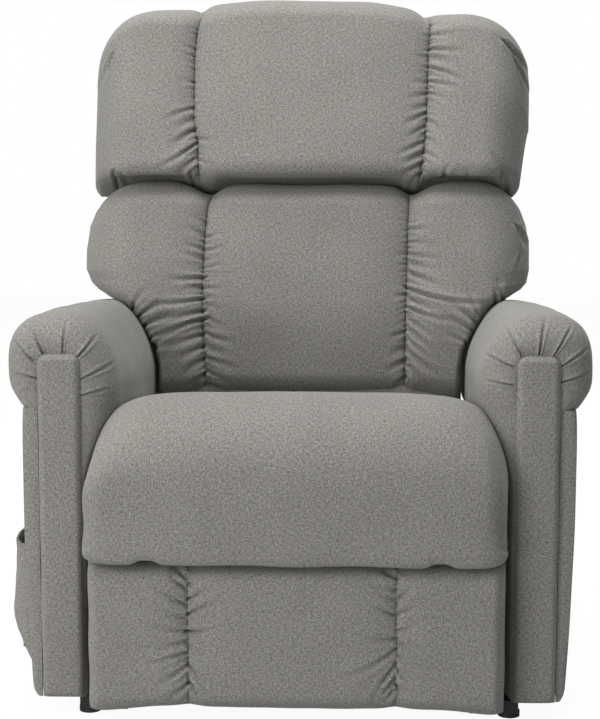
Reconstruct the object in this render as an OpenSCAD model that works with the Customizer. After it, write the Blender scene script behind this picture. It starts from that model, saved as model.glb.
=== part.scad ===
// Lift recliner chair: a lifting base, a seat with rolled arms, a reclining back and a fold-out footrest.
// Millimetres. +X is the sitter's left, -Y is the front, +Z is up, and the floor is z = 0.
// The modules are drawn from the frame's own zero line across the seat, and placed() then moves each
// piece back, so that the origin is on the floor under the middle of the whole chair.

/* [Chair body] */
// Width of an arm, from the seat cushion's side to the outside of the roll
arm_w = 122; // [120:1:124]
// Distance from the zero line to the front of the arms
arm_front = 400; // [397:1:403]
// Distance from the zero line to the rear of the arms
arm_rear = 270; // [268:1:276]
// Height of the front of an arm's top
arm_h = 590; // [585:1:594]
// How much lower the rear of an arm's top is
arm_fall = 34; // [30:1:36]
// Height of the underside of the arms
arm_bottom = 30; // [30:1:33]

/* [Seat] */
// Height of the seat's crown at the front
seat_h = 476; // [470:1:482]
// Height of the seat where it meets the back
seat_rear_h = 412; // [404:1:418]
// Width of the seat cushion
seat_w = 596; // [590:1:598]
// Distance from the zero line to the front of the seat cushion
seat_front = 476; // [472:1:480]

/* [Back] */
// Lean of the back at rest, degrees
back_lean = 12; // [11.5:0.1:12.5]
// Length from the back's pivot to the top of the head cushion
back_len = 758; // [751:1:766]
// Width of the back cushions over their side lobes
back_w = 774; // [764:1:780]
// Length from the pivot to the split between the two back cushions
split_at = 414; // [408:1:420]
// Depth of the lower back cushion
lumbar_d = 116; // [110:1:120]
// Depth of the head cushion
head_d = 134; // [126:1:138]
// Width of the middle chamber of the lower back cushion
lumbar_mid_w = 336; // [330:1:344]
// Width of the middle chamber of the head cushion
head_mid_w = 392; // [384:1:398]

/* [Footrest] */
// Height of the lower edge of the footrest at rest
foot_low = 34; // [33:1:36]
// Height of the upper edge of the footrest at rest
foot_high = 243; // [238:1:244]
// Width of the middle chamber of the footrest
foot_mid_w = 294; // [288:1:300]
// Depth of the footrest cushion at its fullest
foot_d = 45; // [42:1:47]

/* [Frame] */
// Wall thickness of the steel tube
wall = 2; // [1.5:0.1:2.5]
// Thickness of a steel link
link_t = 5; // [4.8:0.1:5.2]
// Diameter of the pivot bolts
bolt_d = 10; // [9.6:0.1:10.4]
// Diameter of the motors' push rods
rod_d = 20; // [19:0.5:21]

/* [Hidden] */
$fn = 48;

fabric = "#8a8783";
steel = "#2b2b2d";
zinc = "#b9bbbd";
timber = "#c7a877";
plastic = "#1d1e20";

back_reach = 400;                    // from the zero line to the rear of the back's cover
mid_y = (seat_front - back_reach) / 2;

// Widths that follow the seat and the arms
chair_w = seat_w + 2 * arm_w;
arm_gap = 10;                        // from the seat cushion to the lower inner face of an arm
panel_in = seat_w / 2 + arm_gap;     // inner edge of an arm's front panel
roll_inner = seat_w / 2 - 39;        // innermost face of an arm roll, which overhangs the seat
body_out = chair_w / 2 - 26;         // outer face of an arm's side panel
panel_out = body_out - 22;           // outer edge of an arm's front panel
panel_w = panel_out - panel_in;
frame_in = panel_in + 10;
frame_out = body_out - 14;
waist_w = 2 * (roll_inner - 4);      // lower back cushion between the arms
foot_w = seat_w - 6;                 // footrest cushion
base_w = 2 * (panel_in - 18);        // base over its two side rails

gap = 0.05;                          // radial running clearance of a pin in its hole
seat_gap = 0.3;                      // clearance between a soft piece and what it rests on
tiny = 0.01;

// Pivots, as [y, z] in the side view
lift_foot = [-250, 84];      // front lift link on the base
lift_head = [55, 104];       // front lift link on the side plate
rear_foot = [-187.9, 85.6];  // rear link on the base
rear_head = [240, 100];      // rear link on the side plate
motor_foot = [225, 80];      // lift motor on the base
back_pivot = [170, 330];     // back on the side plates
drive_pivot = [-306.6, 215.5];   // footrest drive link on the side plate
guide_pivot = [-265.3, 234.8];   // footrest guide link on the side plate
drive_end = [-236.1, 58.8];      // drive link to long link
guide_end = [-192.8, 83.8];      // guide link to long link
tilt_start = [-241.7, 85.1];     // tilt link on the drive link
tilt_end = [-385, 209];          // tilt link to footrest bracket
board_pivot = [-385, 172.5];     // long link to footrest bracket

// Layers of the linkages, as distances from the middle plane
plate_x = seat_w / 2 - 72;           // inner face of a side plate
plate_t = 6;
lift_x = plate_x + plate_t + 4;      // front lift link
rear_x = lift_x + plate_t + 4;       // rear link
bracket_x = rear_x + plate_t + 4;    // base brackets
layer = link_t + 2;                  // pitch of the footrest links
tilt_x = plate_x - layer - 1;
drive_x = tilt_x - layer;
long_x = drive_x - layer;
guide_x = long_x - layer;

bolt_r = bolt_d / 2;
rod_r = rod_d / 2;                   // push rod
tube_r = rod_r + 9;                  // tube that the push rod slides in
head_r = bolt_r + 4;

// The lift crank carries the push rod's pin 100 mm from the lift foot, 29 degrees each side of upright
crank_r = 100;
crank_swing = 29;
crank_pin_rest = lift_foot + crank_r * [sin(crank_swing), cos(crank_swing)];
crank_pin_mid_r = crank_r * cos(crank_swing);
torsion_at = [-47, 185];
torsion_r = 14;
lift_run = crank_pin_rest - motor_foot;
lift_motor_len = norm(lift_run);
lift_motor_angle = atan2(lift_run[1], -lift_run[0]);

// The back's lever carries its rod pin 100 mm from the back pivot, 20 degrees each side of upright
lever_r = 100;
lever_swing = 20;
lever_pin_rest = back_pivot + lever_r * [sin(lever_swing), -cos(lever_swing)];
lever_pin_mid_r = lever_r * cos(lever_swing);
back_motor_x = 90;
back_motor_z = lever_pin_rest[1];

frame_top = 466;                     // top of an arm's timber box
cover_low = 452;                     // lower edge of an arm cover on the outside
panel_top = 535;                     // top of an arm's front panel
rail_low = 262;                      // underside of the seat rails
rail_h = 38;
seat_base = rail_low + rail_h + 2;   // underside of the seat cushion
seat_lip = seat_base - 54;           // lower edge of the seat cushion in front of the rails
rail_d = 30;
rail_front = -350;                   // front of the seat rails
rail_rear = 75;                      // rear of the seat rails
base_rail_w = 40;

// ---------- shared shapes ----------

module placed() {
  translate([0, mid_y, 0]) children();
}

// Turns a side view drawn as [y, z] into a plate from x0 to x1
module slab(x0, x1) {
  translate([x0, 0, 0]) rotate([90, 0, 90]) linear_extrude(x1 - x0) children();
}

module box(x0, x1, y0, y1, z0, z1) {
  translate([x0, y0, z0]) cube([x1 - x0, y1 - y0, z1 - z0]);
}

// Square tube along Y or X, hollow from end to end
module tube_y(x0, x1, y0, y1, z0, z1) {
  difference() {
    box(x0, x1, y0, y1, z0, z1);
    box(x0 + wall, x1 - wall, y0 - 1, y1 + 1, z0 + wall, z1 - wall);
  }
}

module tube_x(x0, x1, y0, y1, z0, z1) {
  difference() {
    box(x0, x1, y0, y1, z0, z1);
    box(x0 - 1, x1 + 1, y0 + wall, y1 - wall, z0 + wall, z1 - wall);
  }
}

// Round bar along X centred on a pivot
module bar_x(p, r, x0, x1) {
  translate([x0, p[0], p[1]]) rotate([0, 90, 0]) cylinder(r = r, h = x1 - x0);
}

// Flat outline of a link through a list of pivots, with round eyes of width w and bars a little narrower
module strap(points, w) {
  bar = w - 2;
  for (i = [0 : len(points) - 1]) translate(points[i]) circle(d = w);
  for (i = [0 : len(points) - 2]) {
    run = points[i + 1] - points[i];
    translate(points[i]) rotate(atan2(run[1], run[0])) translate([0, -bar / 2]) square([norm(run), bar]);
  }
}

module hole(p, r) {
  translate(p) circle(r = r);
}

// Draws the sitter's left side as it is, and the right side mirrored
module on_side(side) {
  if (side == "left") children();
  else mirror([1, 0, 0]) children();
}

module both_sides() {
  children();
  mirror([1, 0, 0]) children();
}

// Puts what is drawn as [x, depth, length up the back] onto the leaning back
module on_back() {
  translate([0, back_pivot[0], back_pivot[1]]) rotate([-back_lean, 0, 0]) children();
}

// Zigzag spring wire in the XY plane, running along +Y from the origin
module zigzag(length, reach, loops, wire) {
  pitch = (length - wire) / loops;
  r = pitch / 2;
  translate([0, wire / 2, 0]) linear_extrude(wire) for (i = [0 : loops - 1]) {
    side = i % 2 == 0 ? 1 : -1;
    translate([side * reach, pitch * (i + 0.5)]) intersection() {
      difference() {
        circle(r = r + wire / 2);
        circle(r = r - wire / 2);
      }
      translate([side > 0 ? 0 : -2 * r, -2 * r]) square([2 * r, 4 * r]);
    }
    if (i > 0) translate([-reach, pitch * i - wire / 2]) square([2 * reach, wire]);
    if (i == 0) translate([0, -wire / 2]) square([reach, wire]);
    if (i == loops - 1) translate([side > 0 ? 0 : -reach, pitch * loops - wire / 2]) square([reach, wire]);
  }
}

// ---------- soft shapes ----------

function clamp01(t) = min(1, max(0, t));
function ease(t) = let (c = clamp01(t)) c * c * (3 - 2 * c);
// Rounded edge: 0 at t = 0 and t = 1, and 1 over the middle, with edges as wide as e
function dome(t, e) = let (k = clamp01(min(t, 1 - t) / e)) sqrt(1 - (1 - k) * (1 - k));
// Spacing that puts more samples near both ends
function packed(i, n) = 0.5 - 0.5 * cos(180 * i / n);

// A cushion sewn into three chambers runs from c = 0 to c = 3 across its width
function chamber_x(c, half_mid, half) =
  c < 1 ? -half + (half - half_mid) * c
  : c < 2 ? half_mid * (2 * (c - 1) - 1)
  : half_mid + (half - half_mid) * (c - 2);
// Fullness across the chambers: 1 - channel at a seam, and 0 at the cushion's two sides
function chambers(c, channel, mid_edge, lobe_edge, side_edge) =
  let (k = min(2, floor(c)), t = c - k,
    seam = k == 1 ? dome(t, mid_edge)
      : k == 0 ? (t > 0.5 ? dome(t, lobe_edge) : 1)
      : (t < 0.5 ? dome(t, lobe_edge) : 1),
    side = k == 0 && t < 0.5 ? dome(t, side_edge) : k == 2 && t > 0.5 ? dome(t, side_edge) : 1)
  (1 - channel * (1 - seam)) * side;

// Closed pad: a grid of points whose rim lies in one plane, and a flat rear face through the rim
module pad(point, cells, rows) {
  n = 3 * cells;
  m = len(rows) - 1;
  columns = concat([for (k = [0 : 2]) for (i = [0 : cells - 1]) k + packed(i, cells)], [3]);
  grid = [for (t = rows) for (c = columns) point(c, t)];
  at = function(i, j) j * (n + 1) + i;
  // Each quad is split so that a corner's triangles reach in to a point off the rear plane
  quads = [for (j = [0 : m - 1]) for (i = [0 : n - 1])
    each (2 * i + 1 < n) == (2 * j + 1 < m)
      ? [[at(i, j), at(i, j + 1), at(i + 1, j + 1)], [at(i, j), at(i + 1, j + 1), at(i + 1, j)]]
      : [[at(i, j), at(i, j + 1), at(i + 1, j)], [at(i + 1, j), at(i, j + 1), at(i + 1, j + 1)]]];
  // The rear face is a fan along the first row, strips from side to side, and a fan along the last row
  rear = concat(
    [for (i = [0 : n - 1]) [at(i, 0), at(i + 1, 0), at(0, 1)]], [[at(n, 0), at(n, 1), at(0, 1)]],
    [for (j = [1 : m - 2]) each [[at(0, j), at(n, j), at(0, j + 1)], [at(n, j), at(n, j + 1), at(0, j + 1)]]],
    [for (i = [0 : n - 1]) [at(0, m - 1), at(i + 1, m), at(i, m)]], [[at(0, m - 1), at(n, m - 1), at(n, m)]]);
  polyhedron(points = grid, faces = concat(quads, rear));
}

// Closed solid through a list of rings that all have the same number of points
module loft(rings) {
  n = len(rings[0]);
  count = len(rings);
  points = [for (ring = rings) each ring];
  walls = [for (k = [0 : count - 2]) for (i = [0 : n - 1]) let (j = (i + 1) % n)
    each [[k * n + i, (k + 1) * n + i, k * n + j], [k * n + j, (k + 1) * n + i, (k + 1) * n + j]]];
  first = [for (i = [0 : n - 1]) i];
  last = [for (i = [n - 1 : -1 : 0]) (count - 1) * n + i];
  polyhedron(points = points, faces = concat(walls, [first, last]));
}

// ---------- base ----------

base_front = 385;
base_rear = 330;
rail_top = 44;
foot_bar_top = 28;           // the flat tubes near the front are low, for the footrest links to pass over
cross_tube_y = -315;         // front of the cross tube behind the footrest

module base_side_rails() {
  color(steel) both_sides() tube_y(base_w / 2 - base_rail_w, base_w / 2, -base_front + base_rail_w, base_rear, 14, rail_top);
}

module base_cross_tubes() {
  color(steel) {
    both_sides() tube_x(base_w / 2 - base_rail_w, base_w / 2 + 30, -base_front, -base_front + base_rail_w, 8, foot_bar_top);
    tube_x(-base_w / 2 + base_rail_w, base_w / 2 - base_rail_w, cross_tube_y, cross_tube_y + base_rail_w, 8, foot_bar_top);
    tube_x(-base_w / 2 + base_rail_w, base_w / 2 - base_rail_w, motor_foot[0] - 20, motor_foot[0] + 20, 14, rail_top);
  }
}

module base_feet() {
  color(plastic) both_sides() {
    translate([base_w / 2 + 18, -base_front + base_rail_w / 2, 0]) cylinder(r = 16, h = 8);
    translate([base_w / 2 - 20, base_rear - 30, 0]) cylinder(r = 18, h = 14);
    translate([base_w / 2 - 20, -base_front + 62, 0]) cylinder(r = 18, h = 14);
  }
}

// Upright plates on the side rails that carry the four lower pivots
module link_brackets() {
  color(steel) both_sides() difference() {
    slab(bracket_x, bracket_x + plate_t) {
      strap([lift_foot, lift_foot - [0, lift_foot[1] - rail_top - 18]], 36);
      strap([rear_foot, rear_foot - [0, rear_foot[1] - rail_top - 18]], 36);
      translate([lift_foot[0] - 30, rail_top]) square([rear_foot[0] - lift_foot[0] + 60, 14]);
    }
    for (p = [lift_foot, rear_foot]) bar_x(p, bolt_r + gap, bracket_x - 1, bracket_x + plate_t + 1);
  }
}

clevis_in = 14.3;
clevis_t = 6;

// Bolts at the four lower pivots, with heads outside the brackets
module base_bolts() {
  color(zinc) both_sides() {
    bar_x(lift_foot, bolt_r, lift_x - 2, bracket_x + plate_t);
    bar_x(rear_foot, bolt_r, rear_x - 2, bracket_x + plate_t);
    for (p = [lift_foot, rear_foot]) bar_x(p, head_r, bracket_x + plate_t, bracket_x + plate_t + 5);
  }
}

module lift_motor_clevis() {
  color(steel) {
    both_sides() difference() {
      slab(clevis_in, clevis_in + clevis_t) {
        translate(motor_foot) circle(r = 16);
        translate([motor_foot[0] - 16, rail_top]) square([32, motor_foot[1] - rail_top]);
      }
      bar_x(motor_foot, bolt_r + gap, 0, 40);
    }
    bar_x(motor_foot, bolt_r, -clevis_in - clevis_t - 6, clevis_in + clevis_t + 6);
  }
}

// ---------- lift linkage ----------

module lift_link(side) {
  color(steel) on_side(side) {
    difference() {
      slab(lift_x, lift_x + plate_t) {
        strap([lift_foot, lift_head], 30);
        strap([[torsion_at[0] - 30, torsion_at[1] - 85], torsion_at], 34);
      }
      bar_x(lift_foot, bolt_r + gap, lift_x - 1, lift_x + plate_t + 1);
      bar_x(lift_head, bolt_r + gap, lift_x - 1, lift_x + plate_t + 1);
    }
  }
}

module lift_torsion_tube() {
  color(steel) difference() {
    bar_x(torsion_at, torsion_r, -lift_x, lift_x);
    bar_x(torsion_at, torsion_r - wall - 1, -lift_x - 1, lift_x + 1);
  }
}

// Two cheek plates around the torsion tube, with slots that let the rod pin run straight
crank_in = tube_r + 3;
crank_t = 6;
slot_side = 2.3;
slot_w = bolt_d + 2 * slot_side;
slot_in = crank_pin_mid_r - 2;
slot_out = crank_r + 2;
crank_eye = lift_foot + (slot_in + slot_out) / 2 * [sin(crank_swing), cos(crank_swing)];

module lift_crank() {
  color(steel) both_sides() difference() {
    slab(crank_in, crank_in + crank_t) difference() {
      union() {
        strap([torsion_at, crank_eye], 44);
        translate(crank_eye) circle(r = 26);
      }
      hole(torsion_at, torsion_r);
      translate(lift_foot) rotate(90 - crank_swing) {
        translate([slot_in, 0]) circle(d = slot_w);
        translate([slot_out, 0]) circle(d = slot_w);
        translate([slot_in, -slot_w / 2]) square([slot_out - slot_in, slot_w]);
      }
    }
  }
}

// The rear link's upper hole is oversize: this is where its loop is opened
module rear_link(side) {
  color(steel) on_side(side) difference() {
    slab(rear_x, rear_x + plate_t) strap([rear_foot, rear_head], 28);
    bar_x(rear_foot, bolt_r + gap, rear_x - 1, rear_x + plate_t + 1);
    bar_x(rear_head, bolt_r + 2.4, rear_x - 1, rear_x + plate_t + 1);
  }
}

// ---------- motors ----------

// Draws a motor part along its own axis, +X from the foot pin to the rod end
module on_lift_motor() {
  translate([0, motor_foot[0], motor_foot[1]]) rotate([-lift_motor_angle, 0, 0]) rotate([0, 0, -90]) children();
}

lift_tube_end = lift_motor_len - 62;

module push_tube(x0, x1, bore_x0) {
  difference() {
    translate([x0, 0, 0]) rotate([0, 90, 0]) cylinder(r = tube_r, h = x1 - x0);
    translate([bore_x0, 0, 0]) rotate([0, 90, 0]) cylinder(r = rod_r + gap, h = x1 - bore_x0 + 1);
  }
}

module lift_motor_body() {
  color(plastic) on_lift_motor() {
    difference() {
      union() {
        translate([0, clevis_in - 0.3, 0]) rotate([90, 0, 0]) cylinder(r = 15, h = 2 * clevis_in - 0.6);
        translate([0, -clevis_in + 0.3, -15]) cube([34, 2 * clevis_in - 0.6, 30]);
        translate([30, -24, -24]) cube([54, 48, 48]);
      }
      translate([0, 30, 0]) rotate([90, 0, 0]) cylinder(r = bolt_r + gap, h = 60);
    }
    push_tube(84, lift_tube_end, 120);
    difference() {
      translate([84, 0, 0]) rotate([0, 90, 0]) cylinder(r = 23, h = 90);
      translate([83, 0, 0]) rotate([0, 90, 0]) cylinder(r = tube_r, h = 92);
    }
  }
}

rod_head = 14;

module lift_motor_rod() {
  color(zinc) on_lift_motor() {
    translate([130, 0, 0]) rotate([0, 90, 0]) cylinder(r = rod_r, h = lift_motor_len - 130 - rod_head / 2);
    translate([lift_motor_len, 0, 0]) rotate([90, 0, 0]) cylinder(r = rod_head, h = 2 * (crank_in - 1), center = true);
    translate([lift_motor_len, 0, 0]) rotate([90, 0, 0])
      cylinder(r = bolt_r, h = 2 * (crank_in + crank_t + 4), center = true);
  }
}

back_tube_end = 10;
back_motor_front = -205;

module back_motor_body() {
  color(plastic) translate([back_motor_x, 0, back_motor_z]) rotate([0, 0, 90]) {
    difference() {
      translate([back_motor_front, -24, -22]) cube([60, 48, 44]);
      translate([back_motor_front + 20, 0, 0]) cylinder(r = bolt_r - 1, h = 60, center = true);
    }
    push_tube(back_motor_front + 60, back_tube_end, back_motor_front + 90);
    translate([back_motor_front - 10, -20, -14]) cube([10, 40, 40]);
  }
}

module back_motor_rod() {
  color(zinc) {
    translate([back_motor_x, 0, back_motor_z]) rotate([0, 0, 90])
      translate([back_motor_front + 165, 0, 0]) rotate([0, 90, 0])
        cylinder(r = rod_r, h = lever_pin_rest[0] - back_motor_front - 165 - rod_head / 2);
    bar_x(lever_pin_rest, rod_head, back_motor_x - 9, back_motor_x + 9);
    bar_x(lever_pin_rest, bolt_r, back_motor_x - 20, back_motor_x + 20);
  }
}

// ---------- power ----------

module control_box() {
  color(plastic) difference() {
    box(110, 200, 245, 305, 16, 46);
    box(137, 163, 293, 306, 23, 39);
  }
}

module power_inlet() {
  color("#333436") difference() {
    box(137, 163, 293, 307, 23, 39);
    box(140, 160, 296, 308, 26, 36);
  }
}

// ---------- chair frame ----------

module side_plate(side) {
  color(steel) on_side(side) difference() {
    union() {
      slab(plate_x, plate_x + plate_t)
        polygon([[-330, 198], [-330, rail_low], [rail_rear, rail_low], [rail_rear, rail_low + rail_h], [150, 338], [182, 308], [140, 262],
          [200, 205], [255, 104], [226, 96], [160, 160], [100, 170], [70, 100], [40, 100], [16, 190],
          [-40, 214], [-240, 214], [-290, 198]]);
      for (p = [lift_head, rear_head]) bar_x(p, 17, plate_x, plate_x + plate_t);
      bar_x(back_pivot, 22, plate_x, plate_x + plate_t);
    }
    for (p = [lift_head, rear_head, drive_pivot, guide_pivot, back_pivot])
      bar_x(p, bolt_r + gap, plate_x - 1, plate_x + plate_t + 1);
  }
}

// Bolts of the upper lift pivots, the footrest pivots and the back pivot
module frame_bolts() {
  color(zinc) both_sides() {
    bar_x(lift_head, bolt_r, plate_x, lift_x + plate_t + 2);
    bar_x(rear_head, bolt_r, plate_x, rear_x + plate_t + 2);
    bar_x(drive_pivot, bolt_r, drive_x, plate_x + plate_t);
    bar_x(guide_pivot, bolt_r, guide_x, plate_x + plate_t);
    bar_x(back_pivot, bolt_r, plate_x - 24, plate_x + plate_t);
  }
}

module seat_side_rails() {
  color(steel) both_sides() tube_y(plate_x - 4, plate_x - 4 + rail_d, rail_front, rail_rear, rail_low, rail_low + rail_h);
}

module seat_cross_rails() {
  color(steel) {
    for (y = [rail_front, rail_rear - rail_d])
      tube_x(-plate_x + 4, plate_x - 4, y, y + rail_d, rail_low, rail_low + rail_h);
    tube_x(-plate_x, plate_x, -240, -215, 238, rail_low);
  }
}

module seat_springs() {
  color(zinc) for (x = [-160 : 80 : 160])
    translate([x, rail_front + rail_d, rail_low + rail_h - 12])
      zigzag(rail_rear - rail_front - 2 * rail_d, 14, 14, 4);
}

// Steel arms that carry the arm boxes off the side plates
module arm_brackets() {
  color(steel) both_sides() for (y = [-200, 20])
    tube_x(plate_x + plate_t, frame_in, y, y + 40, 222, 258);
}

// ---------- seat cushion ----------

// Side view of the seat cushion, for a station that is a share k of the half width from the middle
function seat_profile(k) =
  let (fall = pow(k, 6),
    front_z = seat_h - 0.45 * (seat_h - seat_base) * fall,
    rear_z = seat_rear_h - 0.45 * (seat_rear_h - seat_base) * fall,
    tuck = 14 * pow(k, 10),
    f = -seat_front + tuck,
    top_front = f + 108)
  concat(
    [[62, seat_base], [62, rear_z - 22], [58, rear_z - 8], [46, rear_z]],
    [for (i = [1 : 7]) let (t = i / 8, y = 46 + (top_front - 46) * t)
      [y, rear_z + (front_z - rear_z) * sin(90 * t)]],
    [for (i = [0 : 9]) let (a = 10 * i) [top_front - 108 * sin(a), front_z - 100 + 100 * cos(a)]],
    [[f - 1, front_z - 125], [f, seat_lip + 60], [f + 2, seat_lip + 28], [f + 7, seat_lip + 9], [f + 17, seat_lip + 1],
      [f + 60, seat_lip], [rail_front - 3, seat_lip], [rail_front - 3, seat_base - tiny]]);

module seat_cushion() {
  half = seat_w / 2;
  stations = 22;
  color(fabric) loft([for (i = [0 : stations]) let (k = 2 * packed(i, stations) - 1)
    [for (p = seat_profile(abs(k))) [half * k, p[0], p[1]]]]);
}

// ---------- arms ----------

roll_mid_z = 497;
roll_half = (chair_w / 2 - roll_inner) / 2;
roll_mid_x = chair_w / 2 - roll_half;
arm_len = arm_front + arm_rear;

// Height of the arm roll's top at a distance along the arm
function arm_top(y) = arm_h - arm_fall * pow(clamp01((y + arm_front) / arm_len), 1.5);
// Share of the full roll that is left where the front of the roll turns in to the front panel
function front_round(y) = let (t = clamp01((y + arm_front) / 62)) sqrt(1 - (1 - t) * (1 - t));

// The roll's inner side fills out downwards behind the seat's front, from 0 to 1
function side_fullness(y) = ease((y + arm_front - 90) / 330);

// Section of an arm cover at a distance along the arm: the roll outside, the timber box inside
function arm_section(y) =
  let (r = front_round(y),
    top = panel_top + (arm_top(y) - panel_top) * r,
    mid_x = panel_in + panel_w / 2 + (roll_mid_x - panel_in - panel_w / 2) * r,
    half = panel_w / 2 + (roll_half - panel_w / 2) * r,
    low = 402 + 9 * r,
    mid_z = 503 - 6 * r,
    inner = panel_in - 8 * r,
    full = side_fullness(y),
    inner_low = low - 20 * full)
  concat(
    [[frame_in - seat_gap, 262], [inner, 262], [inner, 330], [inner, inner_low - 8]],
    [for (i = [0 : 21]) let (a = -66 + 276 * i / 21, s = sin(a))
      [mid_x - half * (a < 0 ? pow(cos(a), 1 - 0.33 * full) : cos(a)),
        s > 0 ? mid_z + (top - mid_z) * s : mid_z + (mid_z - (a < 0 ? inner_low : low)) * s * 0.98]],
    [[panel_in + panel_w + (body_out - panel_in - panel_w) * r, cover_low], [frame_out + seat_gap, cover_low],
      [frame_out + seat_gap, frame_top + seat_gap], [frame_in - seat_gap, frame_top + seat_gap]]);

module arm_cover(side) {
  ys = concat([for (i = [0 : 7]) -arm_front + 62 * (1 - cos(90 * i / 7))], [-240, -140, -40, 60, 160, 225],
    [arm_rear - 14, arm_rear - 4, arm_rear]);
  color(fabric) on_side(side) loft([for (y = ys)
    let (last = clamp01((y - arm_rear + 14) / 14), pinch = 1 - 0.06 * last * last)
    [for (p = arm_section(y)) [roll_mid_x + (p[0] - roll_mid_x) * (p[1] > 470 ? pinch : 1), y, p[1]]]]);
}

module arm_frame(side) {
  color(timber) on_side(side) difference() {
    box(frame_in, frame_out, -arm_front + 14, arm_rear - 2, arm_bottom + 7, frame_top);
    box(frame_in + 12, frame_out - 12, -arm_front + 50, arm_rear - 38, arm_bottom + 43, frame_top - 36);
  }
}

module arm_outer_panel(side) {
  color(fabric) on_side(side) {
    box(frame_out + seat_gap, body_out, -arm_front + 2, arm_rear, arm_bottom, cover_low - seat_gap);
    box(panel_out + 1, frame_out + seat_gap, -arm_front + 2, -arm_front + 12, arm_bottom, cover_low - seat_gap);
  }
}

arch_r = 16;                 // corners of a front panel's arched top

module arm_front_panel(side) {
  color(fabric) on_side(side) translate([0, -arm_front - tiny, 0]) rotate([90, 0, 0]) linear_extrude(9) {
    translate([panel_in, arm_bottom]) square([panel_w, panel_top - arm_bottom - arch_r]);
    translate([panel_in + arch_r, panel_top - arch_r]) circle(r = arch_r);
    translate([panel_in + panel_w - arch_r, panel_top - arch_r]) circle(r = arch_r);
    translate([panel_in + arch_r, panel_top - 2 * arch_r]) square([panel_w - 2 * arch_r, 2 * arch_r]);
  }
}

module rear_skirt() {
  color(fabric) box(-frame_in, frame_in, arm_rear - 10, arm_rear - 2, 50, 260);
}

// ---------- side pocket and handset ----------

pocket_y = -290;
pocket_half = 95;
pocket_low = 75;
pocket_top = 250;
pocket_d = 33;
pocket_floor = 4;
pocket_wall = 3;

// Plan of a bulged pouch on the side panel, drawn in by inset all round
module pouch(inset) {
  r = (pocket_half * pocket_half + pocket_d * pocket_d) / (2 * pocket_d);
  intersection() {
    translate([-body_out - pocket_d + r, pocket_y]) circle(r = r - inset, $fn = 96);
    translate([-body_out - pocket_d - 1, pocket_y - pocket_half - 10])
      square([pocket_d + 1 - inset / 2, 2 * pocket_half + 20]);
  }
}

module side_pocket() {
  color(fabric) translate([0, 0, pocket_low]) difference() {
    linear_extrude(pocket_top - pocket_low) pouch(0);
    translate([0, 0, pocket_floor]) linear_extrude(pocket_top - pocket_low) pouch(pocket_wall);
  }
}

handset_x = body_out + 5;
handset_t = 18;
handset_half = 24;
handset_low = pocket_low + pocket_floor + seat_gap;
handset_len = 170;
handset_round_z = handset_low + handset_len - handset_half;
button_z = handset_round_z + 7;
button_r = 7;

module handset_case() {
  color(plastic) difference() {
    union() {
      box(-handset_x - handset_t, -handset_x, pocket_y - handset_half, pocket_y + handset_half,
        handset_low, handset_round_z);
      translate([-handset_x - handset_t, pocket_y, handset_round_z])
        rotate([0, 90, 0]) cylinder(r = handset_half, h = handset_t);
    }
    for (dy = [-10, 10]) translate([-handset_x - handset_t - 1, pocket_y + dy, button_z])
      rotate([0, 90, 0]) cylinder(r = button_r + 2 * gap, h = 7);
  }
}

module handset_button(dy) {
  color("#d9dadb") translate([-handset_x - handset_t - 1.5, pocket_y + dy, button_z])
    rotate([0, 90, 0]) cylinder(r = button_r, h = 4.5);
}

// ---------- back ----------

post_out = plate_x - 4;
post_in = post_out - 32;
post_front = -12;
post_rear = 23;
wing_out = back_w / 2 - 53;
spring_y = 2;
back_rail_h = 34;
lumbar_low = 60;
post_top = back_len - 23;
// The wing tubes stop lower, under the round corners of the head cushion
wing_top = post_top - 36;
// Lengths up the back to the undersides of its three cross rails
rail_u = [lumbar_low + 6, split_at - 10, post_top - back_rail_h - 1];

module back_posts() {
  color(steel) on_back() difference() {
    both_sides() {
      box(post_in, post_out, post_front, post_rear, -40, post_top);
      box(wing_out - 22, wing_out, post_front + 6, post_rear - 6, 300, wing_top);
    }
    rotate([0, 90, 0]) cylinder(r = bolt_r + gap, h = 600, center = true);
  }
}

module back_rails() {
  color(steel) on_back() {
    for (u = rail_u) box(-post_in, post_in, post_front, post_rear, u, u + back_rail_h);
    both_sides() for (u = [rail_u[1], wing_top - back_rail_h])
      box(post_out, wing_out - 22, post_front + 6, post_rear - 6, u, u + back_rail_h);
  }
}

module back_springs() {
  color(zinc) on_back() for (x = [-120 : 80 : 120]) for (k = [0, 1])
    translate([x, spring_y, rail_u[k] + back_rail_h]) rotate([90, 0, 0])
      zigzag(rail_u[k + 1] - rail_u[k] - back_rail_h, 14, 12 - 2 * k, 4);
}

// Two lever plates on the middle of a tube between the posts
lever_t = 5;
lever_tube_r = 14;
lever_slot_in = lever_pin_mid_r - 1.5;
lever_slot_out = lever_r + 1.5;
lever_slot_w = bolt_d + 2.4;

module back_lever() {
  color(steel) {
    difference() {
      bar_x(back_pivot, lever_tube_r, -post_in, post_in);
      bar_x(back_pivot, lever_tube_r - wall - 1, -post_in - 1, post_in + 1);
    }
    for (x = [back_motor_x - 10 - lever_t, back_motor_x + 10]) slab(x, x + lever_t) translate(back_pivot)
      rotate(lever_swing - 90) difference() {
        union() {
          translate([0, -12]) square([lever_slot_out, 24]);
          circle(r = 19);
          translate([lever_slot_out, 0]) circle(r = 13);
        }
        circle(r = lever_tube_r);
        translate([lever_slot_in, 0]) circle(d = lever_slot_w);
        translate([lever_slot_out, 0]) circle(d = lever_slot_w);
        translate([lever_slot_in, -lever_slot_w / 2]) square([lever_slot_out - lever_slot_in, lever_slot_w]);
      }
  }
}

cushion_back = post_front - 1;
// The underside of the side lobes is an arc about the back's pivot that clears the arms' rear ends
wing_low = norm([arm_rear - back_pivot[0], arm_top(arm_rear) - back_pivot[1]]) + 1.5;
wing_round = 28;
wing_share = (wing_low - lumbar_low) / (split_at - lumbar_low);

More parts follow.
